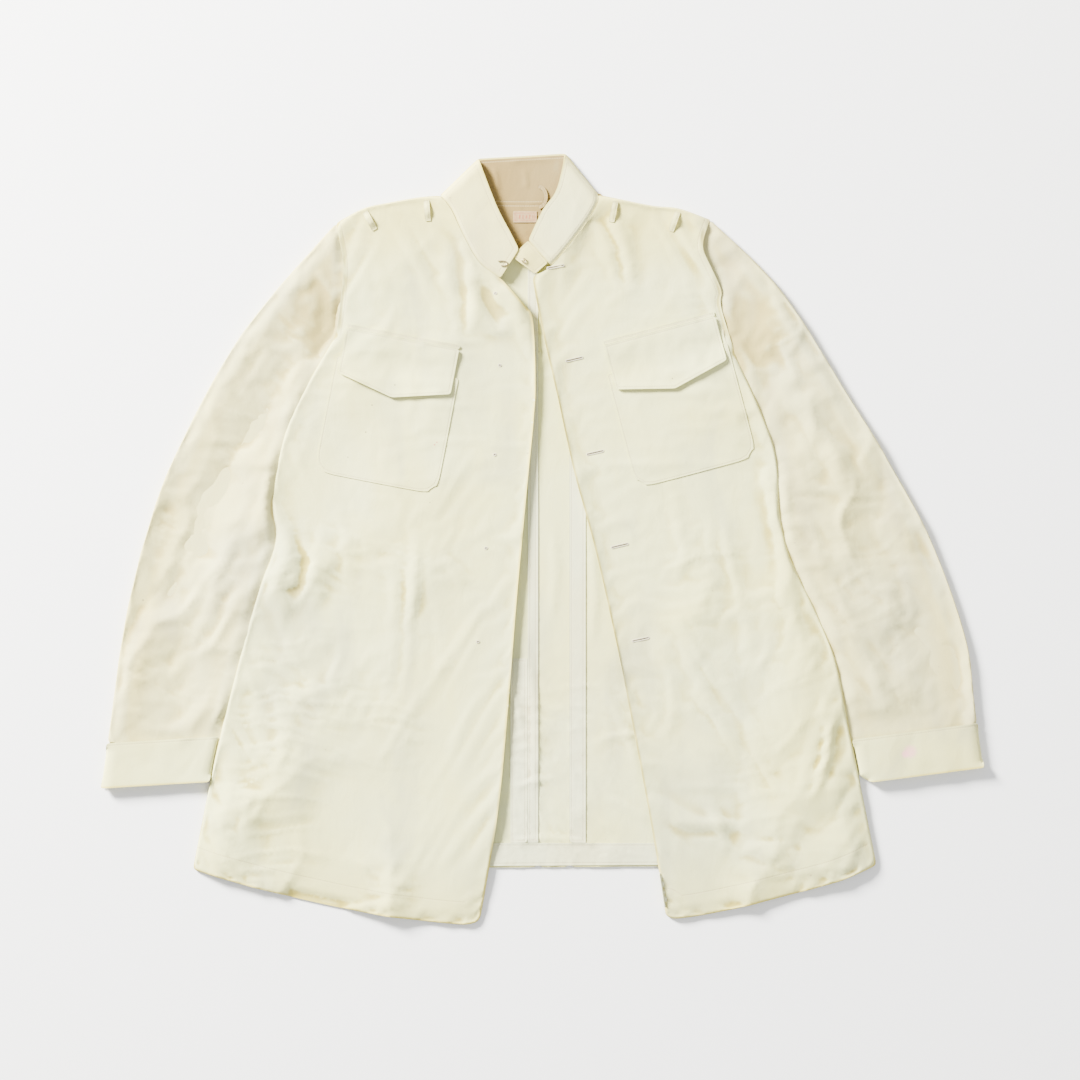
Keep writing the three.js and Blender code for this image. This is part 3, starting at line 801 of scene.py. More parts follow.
# Folds in millimetres: from x, y to x, y, width, height.
FRONT_FOLDS = {
    "left": [
        (-97, 345, -84, 200, 15, -3.4), (-88, 330, -74, 215, 20, 2.2),
        (-66, 288, -14, 236, 22, 4.6), (-84, 272, -36, 226, 26, -4.2),
        (-30, 262, -18, 205, 12, 2.0), (-150, 330, -128, 240, 34, -1.6),
        (-120, 335, -105, 250, 30, 1.4), (-200, 290, -170, 250, 20, -1.2),
        (-262, 10, -290, -62, 20, 3.0), (-246, -10, -262, -66, 12, -3.4),
        (-292, -52, -262, -70, 12, 2.0), (-238, 24, -228, -44, 20, 2.2), (-226, -50, -246, -72, 10, 1.4),
        (-150, -14, -158, -172, 12, -2.2), (-134, 8, -146, -110, 10, 1.8),
        (-120, -64, -122, -160, 12, -1.8), (-172, -100, -210, -196, 26, -2.2),
        (-106, -20, -78, -52, 10, 1.6), (-116, -38, -92, -30, 8, -1.4),
        (-286, -262, -356, -318, 9, -2.4), (-290, -250, -360, -306, 14, 1.8),
        (-230, -90, -262, -120, 16, -1.8), (-168, -190, -158, -300, 26, -1.8),
        (-150, -205, -110, -262, 18, -2.2), (-236, -140, -175, -160, 24, 1.6),
        (-106, -130, -92, -138, 9, 1.5), (-250, -210, -296, -226, 14, -1.8),
        (-180, -290, -150, -372, 16, -2.0), (-140, -345, -70, -330, 14, 1.8),
        (-256, -300, -236, -350, 18, -1.6), (-206, -320, -222, -370, 16, 1.4),
        (-84, -150, -70, -250, 30, 1.0), (-60, -40, -52, -180, 34, 1.1),
        (-300, -130, -330, -250, 22, 1.4), (-180, 60, -150, 30, 20, -1.0),
    ],
    "right": [
        (58, 350, 88, 255, 12, -3.2), (70, 345, 130, 236, 26, 1.6),
        (104, 330, 172, 256, 22, -1.4), (150, 320, 186, 262, 18, 1.6), (86, 262, 100, 150, 34, 1.0),
        (126, 80, 146, -60, 26, 1.8), (156, 60, 176, -110, 30, -2.0), (186, 40, 212, -170, 32, 2.4),
        (214, 66, 246, -116, 28, -1.6), (232, 80, 262, -70, 20, 2.2),
        (100, -70, 110, -230, 32, -1.8), (122, -80, 130, -250, 22, 1.6),
        (297, -186, 275, -272, 6, -3.0), (304, -180, 284, -270, 9, 2.6),
        (262, -60, 336, -262, 26, 2.8), (240, -100, 268, -220, 24, -1.8),
        (122, -301, 232, -304, 10, 2.0), (118, -312, 222, -318, 14, -2.0),
        (126, -262, 240, -268, 8, 1.3), (206, -318, 282, -344, 13, 2.4), (200, -332, 262, -352, 12, -2.2),
        (160, -150, 206, -214, 14, 1.3), (150, -166, 190, -206, 10, -1.2),
        (290, -250, 338, -290, 14, 2.4), (268, -285, 252, -330, 12, 1.8),
        (174, -272, 196, -340, 12, 1.7), (140, -330, 150, -372, 16, -1.3),
        (30, 220, 60, 120, 40, 0.9), (64, 40, 90, -60, 40, 0.9), (210, 150, 240, 40, 24, 1.5),
        (158, -222, 198, -250, 12, -1.2), (220, -230, 250, -262, 12, 1.4),
    ],
}


def stretches_of(name, ring):
    """The named edges of a front's outline. Counter-clockwise on the right is clockwise on the left."""
    marks = [NECK[name], SHOULDER[name], UNDERARM[name], SIDE_HEM[name], FRONT_HEM[name],
             NECK_FRONT[name]]
    labels = ["shoulder", "armhole", "side", "hem", "edge", "neck"]
    found = {}
    for label, start, end in zip(labels, marks, marks[1:] + marks[:1]):
        found[label] = between(ring, start, end) if name == "left" else between(ring, end, start)
    return found


FRONT_OUTLINE = {side: outline_of(side + "_front", side + "_front_skirt") for side in SIDE_SIGN}
FRONT_EDGES = {side: stretches_of(side, resample(FRONT_OUTLINE[side], SPACING)) for side in SIDE_SIGN}


def rounded(distance, radius):
    """A quarter ellipse from 0 on the edge to 1 a radius inside."""
    t = np.clip(1 - distance / radius, 0, 1)
    return np.sqrt(1 - t * t)


def front_height(name, points):
    """Height of the top of a front: domed, rolled down at the side and shoulder, thin at the hem."""
    edges = FRONT_EDGES[name]
    away = {label: near_segments(points, stretch) for label, stretch in edges.items()}
    seed = FRONT_SEED[name]
    hem_drop = 1 - smoothstep(away["hem"], 0, 120 * MM)
    level = FRONT_LEVEL - (FRONT_LEVEL - HEM_LEVEL) * hem_drop ** 1.4
    beyond = smoothstep(points[:, 1], BACK_HEM - 10 * MM, BACK_HEM + 26 * MM)
    level = np.maximum(level, (HEM_LEVEL + 2.8 * MM * beyond))
    wrinkle = 1.6 * MM * fractal(points, (0.08, 0.2), seed + 3, 2) + creases(points, FRONT_FOLDS[name])
    calm = smoothstep(away["neck"], 0, 14 * MM) * smoothstep(away["edge"], -20 * MM, 16 * MM)
    level = level + wrinkle * calm
    level = level - (FRONT_LEVEL - ARMHOLE_LEVEL) * (1 - smoothstep(away["armhole"], 0, 9 * MM))
    open_side = smoothstep(-points[:, 1], 0.235, 0.262)
    foot = SIDE_LEVEL + (EDGE_LEVEL - SIDE_LEVEL) * open_side
    level = foot + (level - foot) * rounded(away["side"], SIDE_ROLL)
    level = EDGE_LEVEL + (level - EDGE_LEVEL) * rounded(away["shoulder"], SHOULDER_ROLL)
    turned_edge = 1 - smoothstep(away["edge"], 0, 7 * MM)
    return np.maximum(level - 0.8 * MM * turned_edge, HEM_LEVEL)


def front_creases(name, points):
    """The small crisp creases of washed and folded cotton."""
    edges = FRONT_EDGES[name]
    seed = FRONT_SEED[name]
    calm = smoothstep(near_segments(points, edges["neck"] + edges["armhole"]), 0, 30 * MM)
    calm = calm * smoothstep(near_segments(points, edges["side"]), 0, 26 * MM)
    calm = calm * (0.06 + 0.94 * smoothstep(near_segments(points, edges["edge"]), 40 * MM, 95 * MM))
    low = 0.42 + 0.58 * smoothstep(-points[:, 1], -0.08, 0.12)
    lean = FRONT_LEAN[name]
    folds = (facets(points, lean, 0.13, 0.060, 6.0 * MM, seed)
             + facets(points, lean - 0.8, 0.080, 0.042, 3.0 * MM, seed + 1)
             + crumple(points, lean, 0.16, 0.024, 0.7 * MM, seed + 2))
    return calm * low * folds


def front_floor(name, points):
    """The lowest that a front can lie: on the table at its rims, and on the back's layers inside."""
    rim = near_segments(points, border_of(FRONT_OUTLINE[name]))
    inside_rim = smoothstep(rim, 0, 14 * MM)
    return HEM_LEVEL - SOFT_FLOOR + (FRONT_FLOOR + SOFT_FLOOR - HEM_LEVEL) * inside_rim


def ageing(points, centre_x=0.0):
    """Yellowing from 0 to 1: strong at the shoulders and along the outer edges."""
    high = smoothstep(points[:, 1], 0.20, 0.36)
    out = smoothstep(np.abs(points[:, 0] - centre_x), 0.30, 0.47)
    low = smoothstep(-points[:, 1], 0.30, 0.41)
    return np.clip(0.60 * high + 0.30 * out + 0.42 * low, 0, 1)


def make_front(name, material):
    piece = patch(name + "_front_cloth", FRONT_OUTLINE[name], lambda p: front_height(name, p),
                  growth=FRONT_GROWTH, detail=lambda p: front_creases(name, p), floor_level=FRONT_BOARD,
                  least=lambda p: front_floor(name, p))
    coords = coordinates(piece)
    points = coords[:, :2]
    edges = FRONT_EDGES[name]
    gap, run = stitch_lines(points, [edges["hem"]], HEM_STITCH)
    arm_gap, arm_run = stitch_lines(points, [edges["armhole"]], ARMHOLE_STITCH)
    closer = np.abs(arm_gap) < np.abs(gap)
    gap = np.where(closer, arm_gap, gap)
    run = np.where(closer, arm_run, run)
    note_stitches(piece, gap, run)
    rim = near_segments(points, edges["hem"] + edges["edge"])
    note(piece, "aged", np.clip(ageing(points) + 1.0 * (1 - smoothstep(rim, 0, 3.5 * MM)), 0, 1))
    # Painted shade beside the armhole seam: the fold attribute is pushed deeper there, so the cotton takes
    # more of its fold shade colour.
    shade = near_segments(points, edges["armhole"])
    mark_fold_shade(piece, -0.5 * (1 - smoothstep(shade, 0, 7 * MM)))
    tree = BVHTree.FromPolygons([Vector(v) for v in coords],
                                [tuple(p.vertices) for p in piece.data.polygons])
    finish_cloth(piece)
    abs(area_of(FRONT_OUTLINE[name]))
    dress(piece, material, "cotton_body", None, name + "_front", name + "_front_skirt")
    across_fold(piece, name)
    return tree


def across_fold(piece, name):
    """Finds the line that the lower front corner turns back on, then bakes the piece's transform; the piece is
    not bent.
    """
    joint = joints[name + "_front_turn"]
    at, axis = Vector(joint["pos_m"]), Vector(joint["axis"])
    inwards = axis.cross(Vector((0, 0, 1))).normalized()
    low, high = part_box(name + "_front_skirt")
    if inwards.dot((low + high) / 2 - at) < 0:
        inwards = -inwards
    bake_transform(piece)


def onto(tree, points, lift, fallback):
    """Heights a little above or below a cloth, read straight down onto it."""
    found = np.empty(len(points))
    for i, (x, y) in enumerate(points):
        hit = tree.ray_cast(Vector((x, y, 1.0)), Vector((0, 0, -1)))[0]
        found[i] = (hit.z if hit else fallback) + lift
    return found


def make_facing(name, tree, material):
    """The folded-in strip along a front's edge, under the front."""
    outline = outline_of(name + "_upper_facing", name + "_lower_facing")
    piece = patch(name + "_front_facing", outline,
                  lambda p: onto(tree, p, -FACING_GAP, FRONT_LEVEL), rims=())
    coords = coordinates(piece)
    coords[:, 2] = np.maximum(coords[:, 2], HEM_LEVEL - 0.9 * MM)
    place_vertices(piece, coords)
    note_stitches(piece, *stitch_lines(coords[:, :2], [FRONT_EDGES[name]["edge"]], FACING_STITCH))
    note(piece, "aged", np.full(len(coords), 0.15))
    mark_fold_shade(piece)
    finish_cloth(piece, FACING_DEPTH)
    allowed_area(outline, *FACING_CUT)
    dress(piece, material, "cotton_inside", None, name + "_upper_facing", name + "_lower_facing")
    across_fold(piece, name)


# ---------------------------------------------------------------- back

BACK_LEVEL = 1.1 * MM
BACK_FOLDS = [
    (40, 60, 52, -120, 10, 1.2), (88, 30, 120, -140, 14, 1.3), (-24, -80, -12, -300, 12, 1.2),
    (60, -150, 104, -250, 9, 1.2), (96, -100, 84, -190, 8, 1.0), (-40, -150, -20, -200, 9, 1.1),
    (50, -215, 118, -205, 8, 1.1), (-30, -262, 22, -250, 8, 1.2), (66, -270, 112, -300, 8, 1.2),
    (10, 20, 6, -100, 10, 1.0), (-34, -318, 60, -322, 9, 1.3), (70, 120, 96, -20, 12, 1.1),
]


def back_height(points):
    wrinkle = (crumple(points, 1.5, 0.08, 0.018, 0.7 * MM, 41)
               + crumple(points, 0.5, 0.06, 0.016, 0.5 * MM, 43)
               + np.maximum(creases(points, BACK_FOLDS), 0))
    return BACK_LEVEL + 0.25 * MM * (1 + fractal(points, (0.08, 0.12), 47, 2)) + wrinkle


def make_back(material):
    for name in ("back_left_panel", "back_centre_panel", "back_right_panel"):
        outline = outline_of(name)
        piece = patch(name + "_cloth", outline, back_height, spacing=9 * MM, rims=(2.2 * MM,))
        points = coordinates(piece)[:, :2]
        hem = segment((-0.5, BACK_HEM), (0.5, BACK_HEM))
        note_stitches(piece, *stitch_lines(points, [hem], HEM_STITCH))
        note(piece, "aged", 0.4 * (1 - smoothstep(points[:, 1] - BACK_HEM, 0, 0.02)))
        mark_fold_shade(piece, gain=700)
        finish_cloth(piece)
        width_and_length(name)
        abs(area_of(outline))
        dress(piece, material, "cotton_body", "coat_body", name)


def grown(outline, reach):
    ring = resample(outline, SPACING)
    return [tuple(p) for p in ring + outward_of(ring) * reach]


STRIP_LIFT = 0.9 * MM
STRIP_THICKNESS = 0.45 * MM
STRIP_STITCH = 2.4 * MM


def make_strip(node, material, aged=0.05, grow=0.0):
    """A tape, facing or lining sewn onto the back, stitched close to its edges."""
    outline = grown(outline_of(node), grow) if grow else outline_of(node)
    piece = patch(node + "_cloth", outline, lambda p: back_height(p) + STRIP_LIFT,
                  spacing=6 * MM, rims=())
    points = coordinates(piece)[:, :2]
    note_stitches(piece, *stitch_lines(points, [border_of(outline)], STRIP_STITCH))
    note(piece, "aged", np.full(len(points), aged))
    mark_fold_shade(piece, gain=600)
    finish_cloth(piece, STRIP_THICKNESS)
    size = width_and_length(node)
    allowed_area(outline, *size)
    dress(piece, material, "cotton_inside", "coat_body", node)


# ---------------------------------------------------------------- sleeves

CUFF_OUTER = {"left": (-0.4645, -0.2650), "right": (0.4640, -0.2240)}
CUFF_INNER = {"left": (-0.3480, -0.2570), "right": (0.3370, -0.2410)}
SLEEVE_AGE = 0.5
SLEEVE_GROWTH = 0.004
SLEEVE_BOARD = 2.6 * MM
SLEEVE_LEAST = 4.6 * MM
MOUTH_REACH = 5 * MM
CUFF_STITCH = 2.5 * MM
CUFF_LIFT = 0.5 * MM
SLEEVE_LEVEL = 8.6 * MM
TUBE_FOOT = 0.9 * MM
TUBE_EDGE = 4.0 * MM
SLEEVE_LEAN = {"left": 1.05, "right": 2.05}
SLEEVE_FOLDS = {
    "left": [
        (-226, 300, -352, 60, 30, -3.4), (-240, 320, -330, 130, 26, 2.6), (-252, 215, -372, -40, 24, -2.4),
        (-236, 190, -290, 60, 22, -4.2), (-222, 240, -262, 130, 20, -3.6), (-232, 262, -270, 190, 16, 2.6),
        (-275, 130, -330, -10, 18, -3.2), (-290, 150, -400, -90, 22, 1.8), (-306, 70, -352, -60, 14, 2.2),
        (-330, 0, -420, -190, 20, 2.4), (-320, -40, -380, -130, 16, -2.6), (-350, 40, -432, -110, 18, -1.6),
        (-302, -60, -352, -190, 20, -2.8), (-392, 10, -446, -150, 24, 1.6), (-330, -120, -420, -220, 20, -2.4),
        (-345, -150, -405, -245, 14, 2.0), (-290, 20, -340, -60, 12, 1.8), (-372, 90, -404, 0, 20, -1.2),
    ],
    "right": [
        (196, 300, 262, 130, 34, -4.6), (190, 330, 284, 230, 24, 2.4), (214, 270, 300, 120, 26, 2.8),
        (240, 150, 300, 50, 26, -4.0), (236, 190, 330, 20, 22, 2.8), (270, 90, 330, -10, 18, -2.6),
        (262, 30, 300, -30, 14, 2.0), (256, -10, 330, -120, 20, -3.4), (288, 20, 400, -170, 24, 2.8),
        (310, 60, 392, -110, 20, -2.4), (330, 130, 420, -60, 26, 1.8), (290, -70, 372, -190, 16, 2.4),
        (300, -100, 356, -180, 14, -2.4), (352, 90, 432, -100, 22, -1.6), (380, -60, 432, -190, 18, 2.2),
        (400, 0, 444, -150, 20, -1.6), (350, -150, 400, -205, 14, -2.6), (300, 240, 380, 110, 26, -1.2),
        (318, -150, 350, -200, 12, 1.8),
    ],
}


def tucked(name, outline, cuff_line):
    """A sleeve's outline run on under the body's edge and into the cuff."""
    ring = resample(outline, SPACING)
    outwards = outward_of(ring)
    body = near_segments(ring, border_of(FRONT_OUTLINE[name])) < 2 * MM
    cuff = near_segments(ring, segment(*cuff_line)) < 2 * MM
    ends = np.minimum(np.hypot(*(ring - np.array(SHOULDER[name])).T),
                      np.hypot(*(ring - np.array(cuff_line[0])).T))
    reach = np.where(body | cuff, TUCK, 0) * smoothstep(ends, 0, 16 * MM)
    return [tuple(p) for p in ring + outwards * reach[:, None]]


def tube(name, outline, mouths, level, spacing=SPACING, growth=0.0, detail=None, under_body=None):
    """A flat tube of cloth: a top and an underside over one outline, joined along its edges and
    left open where the outline runs along a mouth."""
    flat, faces, count = fill(outline, spacing)
    ring = flat[:count]
    open_here = np.zeros(count, bool)
    for a, b in mouths:
        open_here |= near_segments(ring, segment(a, b)) < MOUTH_REACH
    top = len(flat)
    under = np.arange(top)
    second = {i: i for i in range(count) if not open_here[i]}
    extra = [i for i in range(top) if i not in second]
    for k, i in enumerate(extra):
        second[i] = top + k
    verts = [(x, y, 1.0) for x, y in flat] + [(flat[i][0], flat[i][1], 0.0) for i in extra]
    for i in range(count):
        if not open_here[i]:
            verts[i] = (*flat[i], 0.5)
    net = list(faces) + [tuple(second[i] for i in reversed(face)) for face in faces]
    made = new_object(name, verts, net)
    sides = [s for s, shut in zip(segments_of(ring), ~open_here) if shut]

    def levels(points, share, broad):
        away = near_segments(points, sides)
        beneath = under_body(points) if under_body else np.zeros(len(points))
        foot = TUBE_FOOT + 2.2 * MM * beneath
        edge = TUBE_EDGE + 0.4 * MM * beneath
        top_z = edge + (broad - edge) * rounded(away, 12 * MM) * (1 - 0.75 * beneath)
        foot_z = edge + (foot - edge) * rounded(away, 7 * MM)
        return foot_z + (top_z - foot_z) * share, away

    coords = coordinates(made)
    share = coords[:, 2].copy()
    note(made, "share", share)
    coords[:, 2], _ = levels(coords[:, :2], share, level(coords[:, :2]))
    place_vertices(made, coords)
    settled = growth > 0 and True
    if settled:
        settle(made, share < 0.9, SLEEVE_BOARD, growth)
        place_vertices(made, np.where((share < 0.9)[:, None], coords, coordinates(made)))
    apply_modifier(made, "SUBSURF", levels=1, render_levels=1, boundary_smooth="PRESERVE_CORNERS")
    share = np.empty(len(made.data.vertices))
    made.data.attributes["share"].data.foreach_get("value", share)
    coords = coordinates(made)
    points = coords[:, :2]
    broad = level(points)
    straight, away = levels(points, share, broad)
    coords[:, 2] = np.where(share > 0.6, coords[:, 2], straight) if settled else straight
    if detail:
        coords[:, 2] += detail(points) * smoothstep(share, 0.6, 1.0) * smoothstep(away, 0, 14 * MM)
    coords[:, 2] = np.maximum(coords[:, 2], TUBE_FOOT)
    place_vertices(made, coords)
    return made, away


def sleeve_height(name, points):
    seed = SLEEVE_SEED[name]
    lean = SLEEVE_LEAN[name]
    armhole = near_segments(points, FRONT_EDGES[name]["armhole"])
    wrinkle = (1.5 * MM * fractal(turned(points, lean), (0.2, 0.06), seed + 2, 2)
               + creases(points, SLEEVE_FOLDS[name]))
    cuff = near_segments(points, segment(CUFF_OUTER[name], CUFF_INNER[name]))
    wrinkle = wrinkle * smoothstep(cuff, 30 * MM, 80 * MM) * smoothstep(armhole, -6 * MM, 16 * MM)
    level = SLEEVE_LEVEL + wrinkle - 1.0 * MM * (1 - smoothstep(armhole, 0, 12 * MM))
    return np.maximum(level, SLEEVE_LEAST)


def sleeve_creases(name, points):
    seed = SLEEVE_SEED[name]
    lean = SLEEVE_LEAN[name]
    cuff = near_segments(points, segment(CUFF_OUTER[name], CUFF_INNER[name]))
    calm = 0.15 + 0.85 * smoothstep(cuff, 40 * MM, 85 * MM)
    return calm * (facets(points, lean, 0.20, 0.040, 5.4 * MM, seed)
                   + facets(points, lean + 0.35, 0.10, 0.036, 2.6 * MM, seed + 1)
                   + crumple(points, lean, 0.2, 0.022, 0.6 * MM, seed + 2))


def sleeve_band(away):
    """The yellow strip just inside a sleeve's outer fold, and the fold's own rim."""
    strip = smoothstep(away, 14 * MM, 20 * MM) * (1 - smoothstep(away, 22 * MM, 44 * MM))
    return 0.6 * strip + 1 - smoothstep(away, 0, 3 * MM)


def make_sleeve(name, material):
    outline = outline_of(name + "_sleeve_top")
    sign = SIDE_SIGN[name]
    cuff_line, _ = cuff_lines(name)
    outline = tucked(name, outline, cuff_line)
    body_ring = resample(FRONT_OUTLINE[name], SPACING)
    borders = segments_of(body_ring)

    def under_body(points):
        covered = inside(points, body_ring)
        away = near_segments(points, borders)
        return np.where(covered, 1, 1 - smoothstep(away, 0, 7 * MM))

    into_body = np.array((-sign * TUCK, 0))
    into_cuff = np.array((0, -TUCK))
    mouths = [(np.array(SHOULDER[name]) + into_body, np.array(UNDERARM[name]) + into_body),
              (np.array(cuff_line[0]) + into_cuff, np.array(cuff_line[1]) + into_cuff)]
    piece, away = tube(name + "_sleeve_cloth", outline, mouths, lambda p: sleeve_height(name, p),
                       growth=SLEEVE_GROWTH, detail=lambda p: sleeve_creases(name, p),
                       under_body=under_body)
    points = coordinates(piece)[:, :2]
    note(piece, "aged", np.clip(ageing(points) + SLEEVE_AGE * sleeve_band(away), 0, 1))
    # Painted shade in the underarm: near it the fold attribute is pushed deeper, so the cotton there takes
    # more of its fold shade colour.
    armpit = np.hypot(*(points - np.array(UNDERARM[name]) - np.array((sign * 0.012, 0.02))).T)
    underarm_shade = (1 - smoothstep(armpit, 4 * MM, 66 * MM)) * (1.0 if name == "right" else 0.8)
    mark_fold_shade(piece, -1.3 * underarm_shade, gain=620)
    finish_cloth(piece)
    min(2 * abs(area_of(outline)), math.prod(SLEEVE_CUT))
    dress(piece, material, "cotton_body", None, name + "_sleeve_top", name + "_sleeve_under")
    widest = max(sign * SHOULDER[name][0], sign * UNDERARM[name][0])
    start = Vector((sign * widest, UNDERARM[name][1], 0))
    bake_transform(piece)


def cuff_lines(name):
    """The seam between a sleeve and its cuff, and the cuff's mouth, outer end first."""
    outer, inner = np.array(CUFF_OUTER[name]), np.array(CUFF_INNER[name])
    way = (inner - outer) / np.hypot(*(inner - outer))
    up = np.array((-way[1], way[0])) if way[0] > 0 else np.array((way[1], -way[0]))
    ring = resample(outline_of(name + "_cuff"), SPACING)
    local = (ring - outer) @ np.stack([way, up], 1)
    local = (local - local.min(0)) / (local.max(0) - local.min(0))

    def corner(along, across):
        return ring[int(np.argmax(along * local[:, 0] + across * local[:, 1]))]

    return (corner(-1, 1), corner(1, 1)), (corner(-1, -1), corner(1, -1))


def cuff_creases(name, points):
    seed = CUFF_SEED[name]
    return (facets(points, SLEEVE_LEAN[name], 0.05, 0.026, 0.7 * MM, seed)
            + 0.5 * MM * fractal(points, (0.03, 0.05), seed + 1, 2))


def make_cuff(name, material):
    outline = outline_of(name + "_cuff")
    seam, mouth = cuff_lines(name)
    piece, _ = tube(name + "_cuff_cloth", outline, [seam, mouth],
                    lambda p: sleeve_height(name, p) + CUFF_LIFT, spacing=5 * MM,
                    detail=lambda p: cuff_creases(name, p))
    points = coordinates(piece)[:, :2]
    note_stitches(piece, *stitch_lines(points, [[seam]], CUFF_STITCH))
    foot = near_segments(points, [mouth])
    note(piece, "aged", np.clip(ageing(points) + 0.8 * (1 - smoothstep(foot, 0, 3 * MM)), 0, 1))
    mark_fold_shade(piece, gain=500)
    finish_cloth(piece, 0.7 * MM)
    min(2 * abs(area_of(outline)), math.prod(CUFF_CUT))
    dress(piece, material, "cotton_body", name + "_sleeve", name + "_cuff")


# ---------------------------------------------------------------- collar

LEAF_LEVEL = 10.2 * MM
PEAK = {"left": (-0.0673, 0.4004), "right": (0.0243, 0.4058)}
COLLAR_TIP = {"left": (-0.0246, 0.3044), "right": (-0.0147, 0.3136)}
LEAF_STITCH = 4.5 * MM


def leaf_height(name, points):
    away = near_segments(points, segment(NECK[name], PEAK[name]))
    seam = near_segments(points, FRONT_EDGES[name]["neck"])
    seed = LEAF_SEED[name]
    ripple = (0.5 * MM * fractal(points, (0.03, 0.05), seed, 2)
              + crumple(points, 0.9, 0.05, 0.02, 0.4 * MM, seed + 1))
    level = LEAF_LEVEL + ripple - 1.6 * MM * (1 - smoothstep(seam, 0, 5 * MM))
    return EDGE_LEVEL + (level - EDGE_LEVEL) * rounded(away, 10 * MM)


def edge_marks(piece, outline, inset, aged, gain=600.0):
    """Stitching at an inset all round a piece, with its age and folds."""
    points = coordinates(piece)[:, :2]
    note_stitches(piece, *stitch_lines(points, [border_of(outline)], inset))
    note(piece, "aged", np.full(len(points), aged) if np.isscalar(aged) else aged)
    mark_fold_shade(piece, gain=gain)


NARROWEST_SHEET = 10 * MM


def declare(outline):
    """Works out a patch's flat size, across and along it, and its allowed area, and keeps neither. Narrower
    strips are straps and are skipped.
    """
    points = resample(outline, SPACING)
    _, ways = np.linalg.eigh(np.cov((points - points.mean(0)).T))
    local = points @ ways
    width, length = local.max(0) - local.min(0)
    if min(width, length) < NARROWEST_SHEET:
        return
    allowed_area(outline, width, length)


def make_leaf(name, material):
    node = name + "_collar_leaf"
    outline = outline_of(node)
    piece = patch(node + "_cloth", outline, lambda p: leaf_height(name, p), spacing=4.5 * MM,
                  rims=(1.5 * MM, 3.5 * MM))
    points = coordinates(piece)[:, :2]
    tip = 1 - smoothstep(np.hypot(*(points - np.array(PEAK[name])).T), 0, 40 * MM)
    rim = near_segments(points, border_of(outline))
    edge_marks(piece, outline, LEAF_STITCH, np.clip(0.10 + 0.35 * tip + 0.5 * (1 - smoothstep(
        rim, 0, 2.5 * MM)), 0, 1), gain=200)
    finish_cloth(piece, 1.1 * MM)
    declare(outline)
    dress(piece, material, "cotton_collar", None, node)
    hinge = (Vector((*NECK[name], 0)) + Vector((*PEAK[name], 0))) / 2
    towards = Vector((*COLLAR_TIP[name], 0)) - Vector((*PEAK[name], 0))
    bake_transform(piece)


def make_collar(material, inner):
    outline = outline_of("collar_back", low=True)
    fold_lines = [(np.array(NECK[side]), np.array(PEAK[side])) for side in SIDE_SIGN]

    def back_band(points):
        away = near_segments(points, fold_lines)
        return 1.2 * MM + 0.8 * MM * (1 - rounded(away, 8 * MM)) + 0.3 * MM * (
            1 + fractal(points, (0.03, 0.05), 113, 2))

    piece = patch("collar_back_cloth", outline, back_band, spacing=5 * MM, rims=(2 * MM,))
    edge_marks(piece, outline, LEAF_STITCH, 0.6)
    finish_cloth(piece, 0.9 * MM)
    declare(outline)
    dress(piece, material, "cotton_collar", "coat_body", "collar_back")
    lining = outline_of("collar_lining")
    piece = patch("collar_lining_cloth", lining, lambda p: back_band(p) + 0.8 * MM
                  + np.maximum(creases(p, [(-52, 392, -46, 366, 5, 0.9), (-20, 390, -16, 368, 6, 0.6),
                                           (-40, 396, 14, 398, 5, 0.5)]), 0),
                  spacing=5 * MM, rims=(2 * MM,))
    edge_marks(piece, lining, 2.5 * MM, 0.8)
    finish_cloth(piece, 0.5 * MM)
    declare(lining)
    dress(piece, inner, "cotton_inside", "coat_body", "collar_lining")


def make_throat_tab(material):
    outline = outline_of("throat_tab")
    middle = np.mean(outline, 0)

    def height(points):
        away = np.hypot(*(points - middle).T)
        return 9.0 * MM + 0.8 * MM * (1 - smoothstep(away, 0, 16 * MM)) + 0.3 * MM * fractal(
            points, (0.01, 0.012), 127, 2)

    piece = patch("throat_tab_cloth", outline, height, spacing=3 * MM, rims=(1.2 * MM,))
    edge_marks(piece, outline, 2.2 * MM, 0.5)
    finish_cloth(piece, 1.0 * MM)
    declare(outline)
    dress(piece, material, "cotton_collar", "right_collar", "throat_tab")


# ---------------------------------------------------------------- neck trim


def make_neck_trim(inner, blank_label):
    make_strip("neck_facing", inner, aged=0.85, grow=4 * MM)
    outline = outline_of("neck_label")
    piece = patch("neck_label_cloth", outline, lambda p: back_height(p) + 1.7 * MM
                  + 0.3 * MM * fractal(p, (0.012, 0.02), 131, 1), spacing=2 * MM, rims=())
    points = coordinates(piece)[:, :2]
    note(piece, "rim", near_segments(points, border_of(outline)))
    finish_cloth(piece, 0.35 * MM)
    declare(outline)
    dress(piece, blank_label, "label", "coat_body", "neck_label")
    loop = outline_of("hanger_loop")
    middle = np.mean(loop, 0)

    def height(points):
        away = np.abs(points[:, 1] - middle[1])
        return 4.0 * MM + 0.4 * MM * (1 - smoothstep(away, 0, 10 * MM))

    piece = patch("hanger_loop_cloth", loop, height, spacing=2 * MM, rims=(0.8 * MM,))
    edge_marks(piece, loop, 1.0 * MM, 0.9)
    finish_cloth(piece)
    declare(loop)
    dress(piece, inner, "cotton_inside", "hanger", "hanger_loop")


# ---------------------------------------------------------------- pockets

POCKET_STITCH = 1.6 * MM


